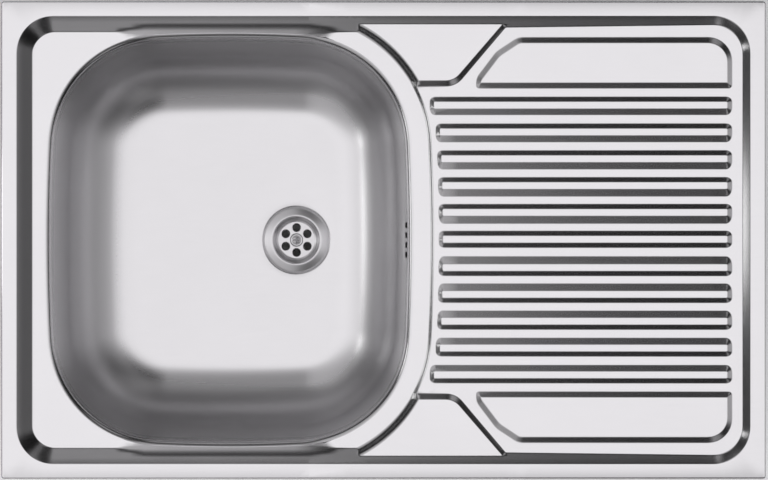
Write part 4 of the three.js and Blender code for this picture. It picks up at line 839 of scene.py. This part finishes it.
def waste_strainer():
    """The plate, filled in plan round its holes, and the cup and flange, a profile turned round the
    waste's axis, welded and thickened."""
    unit = ring_unit(ROUND_STEPS)[1]
    plate_radius = STRAINER_PROFILE[-1][0]
    hole_unit, bore_unit = ring_unit(HOLE_STEPS)[1], ring_unit(SCREW_BORE_STEPS)[1]
    lines = [unit * plate_radius, bore_unit * SCREW_BORE_RADIUS]
    lines += [bore_unit * radius for radius in DIMPLE_LINES]
    lines += [hole_unit * (STRAINER_HOLE_RADIUS + STRAINER_HOLE_EDGE * share) + centre
              for centre in hole_centres() for share in STRAINER_HOLE_LINES]

    def on_plate(x, y):
        radius = np.hypot(x, y)
        within = (radius > SCREW_BORE_RADIUS) & (radius < plate_radius)
        return within & (hole_distance(np.stack([x, y], 1)) > STRAINER_HOLE_RADIUS)

    plan, triangles = filled(on_plate, lines)
    rings = plain_rings(unit, STRAINER_PROFILE)
    patches = ((at_level(plan, plate_level(plan)) + WASTE_PLACE, triangles),
               (np.vstack(rings) + WASTE_PLACE, grid_faces(len(rings), ROUND_STEPS)[:, ::-1]))
    return thickened(joined("strainer", patches), STRAINER_SHEET)


def cross_recess(plan):
    """Depth of the cross in a screw's head: two crossed V-shaped slots, deepest in the middle."""
    x, y = np.abs(plan).T
    near, far = np.minimum(x, y), np.maximum(x, y)
    across = np.clip(1 - near / CROSS_HALF_WIDTH, 0, 1)
    end = np.clip((CROSS_REACH - far) / CROSS_END, 0, 1)
    return CROSS_DEPTH * across * end * (1 - CROSS_RISE * far / CROSS_REACH)


def revolved(name, rings, poles):
    """A closed piece from rings of points, top ring first, with a pole above and one below them."""
    around = len(rings[0])
    step = np.arange(around)
    after = (step + 1) % around
    count = len(rings) * around
    last = count - around
    faces = [*grid_faces(len(rings), around)[:, ::-1].tolist(),
             *np.stack([step * 0 + count, step, after], 1).tolist(),
             *np.stack([step * 0 + count + 1, last + after, last + step], 1).tolist()]
    return applied(new_piece(name, np.vstack([*rings, poles]), faces))


def thread_rings(unit, angle, thread, top, bottom):
    """Rings from top to bottom whose radius is the crest less a triangular wave of the height and
    the bearing: one pitch down for each turn. It fades out over the given length at both ends."""
    crest, depth, pitch, fade = thread
    rings = []
    for level in np.arange(top, bottom, -pitch / THREAD_RINGS):
        turn = ((top - level) / pitch + angle / (2 * math.pi)) % 1
        share = np.clip(min(top - level, level - bottom) / fade, 0, 1)
        radius = crest - depth + depth * share * (1 - np.abs(2 * turn - 1))
        rings.append(at_level(unit * radius[:, None], level))
    return rings


def plain_rings(unit, profile, foot=0.0):
    """One ring for each (radius, level) of a profile above a foot."""
    return [at_level(unit * radius, foot + level) for radius, level in profile]


def waste_screw():
    """A profile turned round the waste's axis, from the head's pole to the tip's. The dome is a
    paraboloid less the cross."""
    angle, unit = ring_unit(ROUND_STEPS)
    rings = []
    for radius in np.linspace(0, SCREW_HEAD_RADIUS, HEAD_RINGS)[1:]:
        fall = SCREW_DOME * (radius / SCREW_HEAD_RADIUS) ** 2
        rings.append(at_level(unit * radius, SCREW_TOP_Z - fall - cross_recess(unit * radius)))
    under = SCREW_TOP_Z - SCREW_DOME - SCREW_SIDE
    tip = under - SCREW_SHANK_LENGTH
    rings += plain_rings(unit, SCREW_NECK, under)
    rings += thread_rings(unit, angle, SCREW_THREAD, under + SCREW_THREAD_ENDS[0],
                          tip + SCREW_THREAD_ENDS[1])
    rings += plain_rings(unit, [(SCREW_TIP_RADIUS, tip)])
    poles = [(0, 0, SCREW_TOP_Z - CROSS_DEPTH), (0, 0, tip)] + WASTE_PLACE
    return revolved("strainer_screw", [ring + WASTE_PLACE for ring in rings], poles)


def tail_thread():
    """The thread round the waste's tail: a closed ring whose inner side lies in the tail's wall."""
    angle, unit = ring_unit(ROUND_STEPS)
    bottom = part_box("waste_body")[0].z + TAIL_THREAD_START
    top = bottom + TAIL_THREAD_LENGTH
    rings = plain_rings(unit, [(TAIL_THREAD_INNER, top + TAIL_THREAD_EDGE)])
    rings += thread_rings(unit, angle, TAIL_THREAD, top, bottom)
    rings += plain_rings(unit, [(TAIL_THREAD_INNER, bottom - TAIL_THREAD_EDGE)])
    faces = grid_faces(len(rings) + 1, ROUND_STEPS)[:, ::-1] % (len(rings) * ROUND_STEPS)
    vertices = np.vstack(rings) + (WASTE_X, 0, 0)
    return applied(new_piece("tail_thread", vertices, faces.tolist()))


def clamp_screw(number):
    """A profile turned round a clamp's screw: tip, thread, collar above the claw, plain neck in it,
    and a round head with a cross below."""
    angle, unit = ring_unit(CLAMP_ROUND_STEPS)
    low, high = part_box(f"clamp_screw_{number}")
    place = ((low.x + high.x) / 2, (low.y + high.y) / 2, 0)
    collar_top, head_radius = CLAMP_SCREW_PROFILE[0][1], CLAMP_SCREW_PROFILE[-1][0]
    rings = plain_rings(unit, CLAMP_TIP, high.z)
    rings += thread_rings(unit, angle, CLAMP_THREAD, high.z + CLAMP_THREAD_ENDS[0],
                          low.z + collar_top + CLAMP_THREAD_ENDS[1])
    rings += plain_rings(unit, CLAMP_SCREW_PROFILE, low.z)
    for radius in np.linspace(head_radius, 0, CLAMP_HEAD_RINGS)[1:-1]:
        plan = unit * radius
        rings.append(at_level(plan, low.z + cross_recess(plan * CLAMP_CROSS_SCALE)))
    poles = np.array([(0, 0, high.z), (0, 0, low.z + CROSS_DEPTH)]) + place
    return revolved(f"clamp_bolt_{number}", [ring + place for ring in rings], poles)


# ---- materials


STEEL_CLOUD_TONE = 0.97  # of its darker clouds
DECK_TO_BOWL = (-0.045, -0.012)  # levels between which the deck's finish passes into the bowl's
WALL_TO_FLOOR = (-0.157, -0.146)  # and the bowl's wall into its floor
BOWL_FLOOR_ROUGHNESS = 0.24
BOWL_WALL_ROUGHNESS = 0.5  # the most above the floor
STEEL_RELIEF = 0.0001
MOULDED_RELIEF = 0.0002
# Painted shade: a near-black colour painted inside the waste's cup and tail, and the specular level
# of the material that carries it.
PAINTED_SHADE_COLOUR = (0.006, 0.006, 0.005, 1)
PAINTED_SHADE_SPECULAR = 0.08
STEEL_CLOUD_SCALE = 14.0
MOULDED_CLOUD_SCALE = 30.0
ROUGHNESS_SWING = 0.06
STEEL_COLOUR = (0.74, 0.735, 0.745)
PLASTIC_COLOURS = ((0.86, 0.86, 0.84), (0.80, 0.80, 0.78))
EVEN = (1.0, 1.0, 1.0)


def add_node(tree, kind, inputs=None, **settings):
    """Adds a node with its settings, and its inputs by name or number as sockets or values."""
    node = tree.nodes.new(kind)
    for key, value in settings.items():
        setattr(node, key, value)
    for key, value in (inputs or {}).items():
        if isinstance(value, bpy.types.NodeSocket):
            tree.links.new(value, node.inputs[key])
        else:
            node.inputs[key].default_value = value
    return node


class Nodes:
    """A material's node tree, with a short way to add nodes and to set its shader."""

    def __init__(self, name):
        self.material = bpy.data.materials.new(name)
        self.material.use_nodes = True
        self.tree = self.material.node_tree
        self.shader = self.tree.nodes["Principled BSDF"]

    def add(self, kind, inputs=None, **settings):
        return add_node(self.tree, kind, inputs, **settings)

    def feed(self, **sockets):
        for name, socket in sockets.items():
            self.tree.links.new(socket, self.shader.inputs[name.replace("_", " ")])

    def fix(self, **values):
        for name, value in values.items():
            self.shader.inputs[name.replace("_", " ")].default_value = value

    def place(self):
        """The shaded point's place in the object's frame."""
        return self.add("ShaderNodeTexCoord").outputs["Object"]

    def height(self):
        """The shaded point's height."""
        return self.add("ShaderNodeSeparateXYZ", {"Vector": self.place()}).outputs["Z"]

    def between(self, value, start, end, first, last, **settings):
        """Goes from the first to the last result while the value goes from start to end."""
        node = self.add("ShaderNodeMapRange", {"Value": value, "From Min": start, "From Max": end,
                                               "To Min": first, "To Max": last}, **settings)
        return node.outputs["Result"]

    def mixed(self, factor, first, last):
        """A colour mixed from two others."""
        return self.add("ShaderNodeMix", {"Factor": factor, "A": first, "B": last},
                        data_type="RGBA").outputs["Result"]

    def relief(self, height, strength, distance):
        """A normal that follows a fine texture's height."""
        node = self.add("ShaderNodeBump", {"Height": height, "Strength": strength,
                                           "Distance": distance})
        return node.outputs["Normal"]


def grain_group():
    """Fine brushed grain: noise stretched along one axis moves roughness, tone and height."""
    group = bpy.data.node_groups.new("brushed grain", "ShaderNodeTree")
    for name, default in (("Scale", 900.0), ("Roughness", 0.3), ("Spread", 0.05)):
        socket = group.interface.new_socket(name, in_out="INPUT", socket_type="NodeSocketFloat")
        socket.default_value = default
    group.interface.new_socket("Stretch", in_out="INPUT", socket_type="NodeSocketVector")
    for name in ("Roughness", "Mask", "Height"):
        group.interface.new_socket(name, in_out="OUTPUT", socket_type="NodeSocketFloat")
    given = add_node(group, "NodeGroupInput").outputs
    place = add_node(group, "ShaderNodeTexCoord").outputs["Object"]
    stretch = add_node(group, "ShaderNodeVectorMath", {0: place, 1: given["Stretch"]},
                       operation="MULTIPLY")
    fine = add_node(group, "ShaderNodeTexNoise", {"Detail": 4.0, "Vector": stretch.outputs[0],
                                                  "Scale": given["Scale"]}).outputs["Fac"]
    cloud = add_node(group, "ShaderNodeTexNoise", {"Scale": STEEL_CLOUD_SCALE, "Vector": place})
    centred = add_node(group, "ShaderNodeMath", {0: fine, 1: 0.5}, operation="SUBTRACT")
    spread = add_node(group, "ShaderNodeMath", {0: centred.outputs[0], 1: given["Spread"],
                                                2: given["Roughness"]}, operation="MULTIPLY_ADD")
    add_node(group, "NodeGroupOutput", {"Roughness": spread.outputs[0],
                                        "Mask": cloud.outputs["Fac"], "Height": fine})


def steel(name, colour, roughness, stretch, scale=900.0, spread=0.06, bump=0.02,
          bowl_roughness=None):
    """Stainless steel whose grain runs along the axis with the smallest stretch. Below the deck, in
    the bowl, it may be rougher, down to its floor."""
    made = Nodes(name)
    made.fix(Metallic=1.0)
    if bowl_roughness is not None:
        drawn = made.between(made.height(), *DECK_TO_BOWL, bowl_roughness, roughness,
                             interpolation_type="SMOOTHSTEP")
        floor = made.between(made.height(), *WALL_TO_FLOOR, BOWL_FLOOR_ROUGHNESS,
                             BOWL_WALL_ROUGHNESS, interpolation_type="SMOOTHSTEP")
        roughness = made.add("ShaderNodeMath", {0: drawn, 1: floor}, operation="MINIMUM").outputs[0]
    grain = made.add("ShaderNodeGroup", {"Scale": scale, "Roughness": roughness, "Spread": spread,
                                         "Stretch": stretch},
                     node_tree=bpy.data.node_groups["brushed grain"]).outputs
    dim = [channel * STEEL_CLOUD_TONE for channel in colour]
    made.feed(Base_Color=made.mixed(grain["Mask"], (*dim, 1), (*colour, 1)),
              Roughness=grain["Roughness"], Normal=made.relief(grain["Height"], bump, STEEL_RELIEF))
    return made.material


def paint_shade_inside(made, unshaded_colour):
    """Paints shade into the colour inside the waste's cup and tail: near black nearer to the axis
    than their walls.
    """
    cup_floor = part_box("waste_body")[1].z - WASTE_CUP_DEPTH
    wall = made.between(made.height(), cup_floor - WASTE_BORE_TAPER, cup_floor + WASTE_BORE_TAPER,
                        WASTE_TAIL_BORE_RADIUS, WASTE_CUP_BORE_RADIUS)
    offset = made.add("ShaderNodeVectorMath", {0: made.place(), 1: (WASTE_X, 0, 0)},
                      operation="SUBTRACT")
    across = made.add("ShaderNodeVectorMath", {0: offset.outputs[0], 1: (1, 1, 0)},
                      operation="MULTIPLY")
    radius = made.add("ShaderNodeVectorMath", {0: across.outputs[0]}, operation="LENGTH")
    within = made.add("ShaderNodeMath", {0: radius.outputs["Value"], 1: wall},
                      operation="LESS_THAN")
    return made.mixed(within.outputs[0], unshaded_colour, PAINTED_SHADE_COLOUR)


def moulded(name, colours, roughness, scale, bump, painted_shade=False):
    """A moulded or foamed material: two tones in soft clouds, and a fine surface texture."""
    made = Nodes(name)
    place = made.place()
    noises = [made.add("ShaderNodeTexNoise", {"Vector": place, "Scale": size})
              for size in (MOULDED_CLOUD_SCALE, scale)]
    cloud, fine = [noise.outputs["Fac"] for noise in noises]
    light, dark = colours
    colour = made.mixed(cloud, (*dark, 1), (*light, 1))
    # Painted shade: the inside of the waste's cup and tail is painted near black, and the material's
    # specular level is lowered.
    if painted_shade:
        colour = paint_shade_inside(made, colour)
        made.fix(Specular_IOR_Level=PAINTED_SHADE_SPECULAR)
    rough = made.between(fine, 0.0, 1.0, roughness - ROUGHNESS_SWING, roughness + ROUGHNESS_SWING)
    made.feed(Base_Color=colour, Roughness=rough, Normal=made.relief(fine, bump, MOULDED_RELIEF))
    return made.material


grain_group()
sink_steel = steel("satin stainless steel", STEEL_COLOUR, 0.19, (0.04, 1.0, 1.0),
                   bowl_roughness=0.36)
strainer_steel = steel("polished stainless steel", STEEL_COLOUR, 0.30, EVEN, spread=0.04)
zinc_plate = steel("bright zinc plate", (0.58, 0.59, 0.61), 0.36, EVEN, 400.0, 0.15, 0.05)
turned_brass = steel("turned brass", (0.72, 0.52, 0.22), 0.3, (1.0, 1.0, 0.1))
white_plastic = moulded("white polypropylene", PLASTIC_COLOURS, 0.45, 500, 0.05)
# The waste body's plastic, with shade painted near black inside its cup and tail.
waste_plastic_painted_shade = moulded("white polypropylene, painted shade inside", PLASTIC_COLOURS, 0.45, 500, 0.05, True)
black_rubber = moulded("black rubber", ((0.030, 0.030, 0.032), (0.018, 0.018, 0.020)), 0.7,
                       700, 0.15)
grey_foam = moulded("closed-cell foam", ((0.11, 0.11, 0.12), (0.06, 0.06, 0.065)), 0.9,
                    1500, 0.6)
damping_sheet = moulded("pressed bitumen sheet", ((0.055, 0.055, 0.057), (0.03, 0.03, 0.031)),
                        0.8, 260, 0.5)

CARRIED = {
    "rim_seal": grey_foam, "bowl_pad": damping_sheet, "waste_body": waste_plastic_painted_shade,
    "waste_nut": turned_brass,
    **dict.fromkeys(("waste_strainer", "waste_screw"), strainer_steel),
    **dict.fromkeys(("waste_upper_seal", "waste_lower_gasket", "overflow_gasket",
                     "overflow_seal_top", "overflow_seal_bottom"), black_rubber),
    **dict.fromkeys(("overflow_housing", "overflow_pipe", "overflow_nut_top",
                     "overflow_nut_bottom"), white_plastic),
}


def dress(piece, material):
    """Gives a piece one material."""
    piece.data.materials.clear()
    piece.data.materials.append(material)


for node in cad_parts:
    dress(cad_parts[node], CARRIED.get(node, zinc_plate))

# ---- pieces

for piece, node, body, material, slot in (
        (sink_sheet(), "sink_body", "root", sink_steel, "sink_steel"),
        (waste_strainer(), "waste_strainer", "root", strainer_steel, "waste_steel"),
        (waste_screw(), "waste_screw", "root", strainer_steel, "waste_steel"),
        (tail_thread(), None, "root", white_plastic, "white_plastic"),
        *((clamp_screw(i), f"clamp_screw_{i}", f"screw_{i}", zinc_plate, "zinc_plate")
          for i in range(1, 7))):
    dress(piece, material)
    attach(piece, body)
    if node:
        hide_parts(node)

# ---- floor, light and camera


FLOOR_COLOUR = (0.86, 0.86, 0.87, 1)
FLOOR_ROUGHNESS = 0.8
FLOOR_REACH = 35.0  # half the floor's side, so that a view from just above it sees only floor
# The sky as (degrees, level). Along: angle from straight up towards +X, in the upright plane
# through X. Across: angle out of that plane, of the bright strip, of a shoulder beside it that is
# lit only on the side away from the drainer, of a light towards the drainer's two corners and of
# the horizon on the side away from the drainer.
SKY_ALONG = ((-180, 0.3), (-100, 0.1), (-84, 0.02), (-74, 0.03), (-64, 0.1), (-56, 0.3), (-50, 0.8),
             (-36, 0.9), (-20, 1.0), (16, 1.0), (36, 0.80), (50, 0.46), (61, 0.44), (67, 0.34),
             (73, 0.08), (90, 0.03), (180, 0.3))
SKY_STRIP = ((0, 1.16), (8, 1.1), (14, 0.50), (20, 0.13), (30, 0.04), (60, 0.01), (71, 0.01),
             (77, 0.1), (90, 0.11))
SKY_SHOULDER = ((0, 0.0), (8, 0.03), (14, 0.24), (20, 0.46), (48, 0.50), (58, 0.16), (66, 0.03),
                (90, 0.03))
SKY_CORNER = ((0, 0.0), (38, 0.0), (45, 0.45), (56, 0.40), (64, 0.05), (90, 0.0))
SKY_HORIZON = ((0, 0), (70, 0), (78, 1), (90, 1))
SKY_HORIZON_LEVEL = 0.3
# Where each side's light starts and is full, in the direction's part along X.
SKY_LEFT_SIDE = (0.02, -0.02)
SKY_CORNER_START = (0.16, 0.28)
SKY_CORNER_END = (0.66, 0.56)
SKY_TINT = (1.0, 0.985, 1.005)
# Lamps: name, place, target, size, power, and whether the metal shows them.
LAMPS = (("side card", (-0.62, 0.02, 0.20), (0.38, 0.0, 0.0), (0.16, 0.22), 0.16, True),
         ("soft top", (0.4, -0.9, 2.6), (0, 0, 0), (2.4, 2.4), 42, False),
         ("low fill", (-1.4, -2.4, 0.6), (0, 0, -0.1), (2.0, 1.2), 18, False))


class Formula:
    """Adds Math nodes to a tree: each call gives the socket of one operation."""

    def __init__(self, tree):
        self.tree = tree

    def __call__(self, operation, *terms):
        return add_node(self.tree, "ShaderNodeMath", dict(enumerate(terms)),
                        operation=operation).outputs[0]

    def clipped(self, value, start, end):
        """Rises evenly from 0 where the value is the start to 1 where it is the end."""
        share = self("MULTIPLY", self("SUBTRACT", value, start), 1 / (end - start))
        return self("MINIMUM", self("MAXIMUM", share, 0.0), 1.0)

    def along_curve(self, value, stops, low, high):
        """A ramp through (position, level) stops, for a value between low and high."""
        share = self("DIVIDE", self("SUBTRACT", value, low), high - low)
        ramp = add_node(self.tree, "ShaderNodeValToRGB", {"Fac": share})
        elements = ramp.color_ramp.elements
        while len(elements) < len(stops):
            elements.new(0.5)
        for element, (position, level) in zip(elements, stops):
            element.position = (position - low) / (high - low)
            element.color = (level, level, level, 1)
        return ramp.outputs["Color"]


def sky():
    """The light all round: a bright strip overhead, long along X and narrow across it, with a dim
    shoulder at the left and two dim corners at the right, almost dark below that and a little
    lighter at the left horizon."""
    world = bpy.data.worlds.new("studio")
    bpy.context.scene.world = world
    world.use_nodes = True
    tree = world.node_tree
    formula = Formula(tree)
    direction = add_node(tree, "ShaderNodeTexCoord").outputs["Generated"]
    x, y, z = add_node(tree, "ShaderNodeSeparateXYZ", {0: direction}).outputs
    across = formula("DEGREES", formula("ARCSINE", formula("ABSOLUTE", y)))
    along = formula("DEGREES", formula("ARCTAN2", x, z))
    left = formula.clipped(x, *SKY_LEFT_SIDE)
    strip, shoulder, corner, horizon = (
        formula.along_curve(across, stops, 0, 90)
        for stops in (SKY_STRIP, SKY_SHOULDER, SKY_CORNER, SKY_HORIZON))
    at_corner = formula("MULTIPLY", formula.clipped(x, *SKY_CORNER_START),
                        formula.clipped(x, *SKY_CORNER_END))
    shoulder = formula("ADD", formula("MULTIPLY", shoulder, left),
                       formula("MULTIPLY", corner, at_corner))
    level = formula("MULTIPLY", formula("ADD", strip, shoulder),
                    formula.along_curve(along, SKY_ALONG, -180, 180))
    low = formula("MULTIPLY", formula("MULTIPLY", horizon, left), SKY_HORIZON_LEVEL)
    level = formula("ADD", level, low)
    colour = add_node(tree, "ShaderNodeCombineColor", {
        channel: formula("MULTIPLY", level, tint)
        for channel, tint in zip(("Red", "Green", "Blue"), SKY_TINT)})
    tree.links.new(colour.outputs[0], tree.nodes["Background"].inputs["Color"])


def lamp(name, place, target, size, power, shows_in_metal):
    """A rectangular lamp that points from its place to a target."""
    data = bpy.data.lights.new(name, "AREA")
    data.shape = "RECTANGLE"
    data.size, data.size_y = size
    data.energy = power
    piece = bpy.data.objects.new(name, data)
    bpy.context.scene.collection.objects.link(piece)
    piece.location = place
    piece.rotation_euler = (Vector(target) - Vector(place)).to_track_quat("-Z", "Y").to_euler()
    piece.visible_camera = False
    piece.visible_glossy = shows_in_metal


def studio():
    """A pale floor under the waste tail, the sky and the lamps."""
    floor_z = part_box("waste_body")[0].z - FLOOR_GAP
    square = np.array([(-1, -1, 0), (1, -1, 0), (1, 1, 0), (-1, 1, 0)])
    corners = square * FLOOR_REACH + (0, 0, floor_z)
    floor = new_piece("floor", corners, [(0, 1, 2, 3)])
    made = Nodes("pale floor")
    made.fix(Base_Color=FLOOR_COLOUR, Roughness=FLOOR_ROUGHNESS)
    floor.data.materials.append(made.material)
    sky()
    for described in LAMPS:
        lamp(*described)


def photo_camera():
    """Looks straight down on the sink, which fills the frame as in the photograph."""
    data = bpy.data.cameras.new("camera")
    camera = bpy.data.objects.new("camera", data)
    bpy.context.scene.collection.objects.link(camera)
    metres_per_px = 2 * HALF_LENGTH / SINK_LENGTH_PX
    camera.location = ((PHOTO_WIDTH_PX / 2 - SINK_MIDDLE_PX) * metres_per_px, 0,
                       RIM_HEIGHT + CAMERA_DISTANCE)
    data.lens = data.sensor_width * CAMERA_DISTANCE / (PHOTO_WIDTH_PX * metres_per_px)
    bpy.context.scene.camera = camera


studio()
photo_camera()
bpy.context.scene.view_settings.view_transform = "Standard"
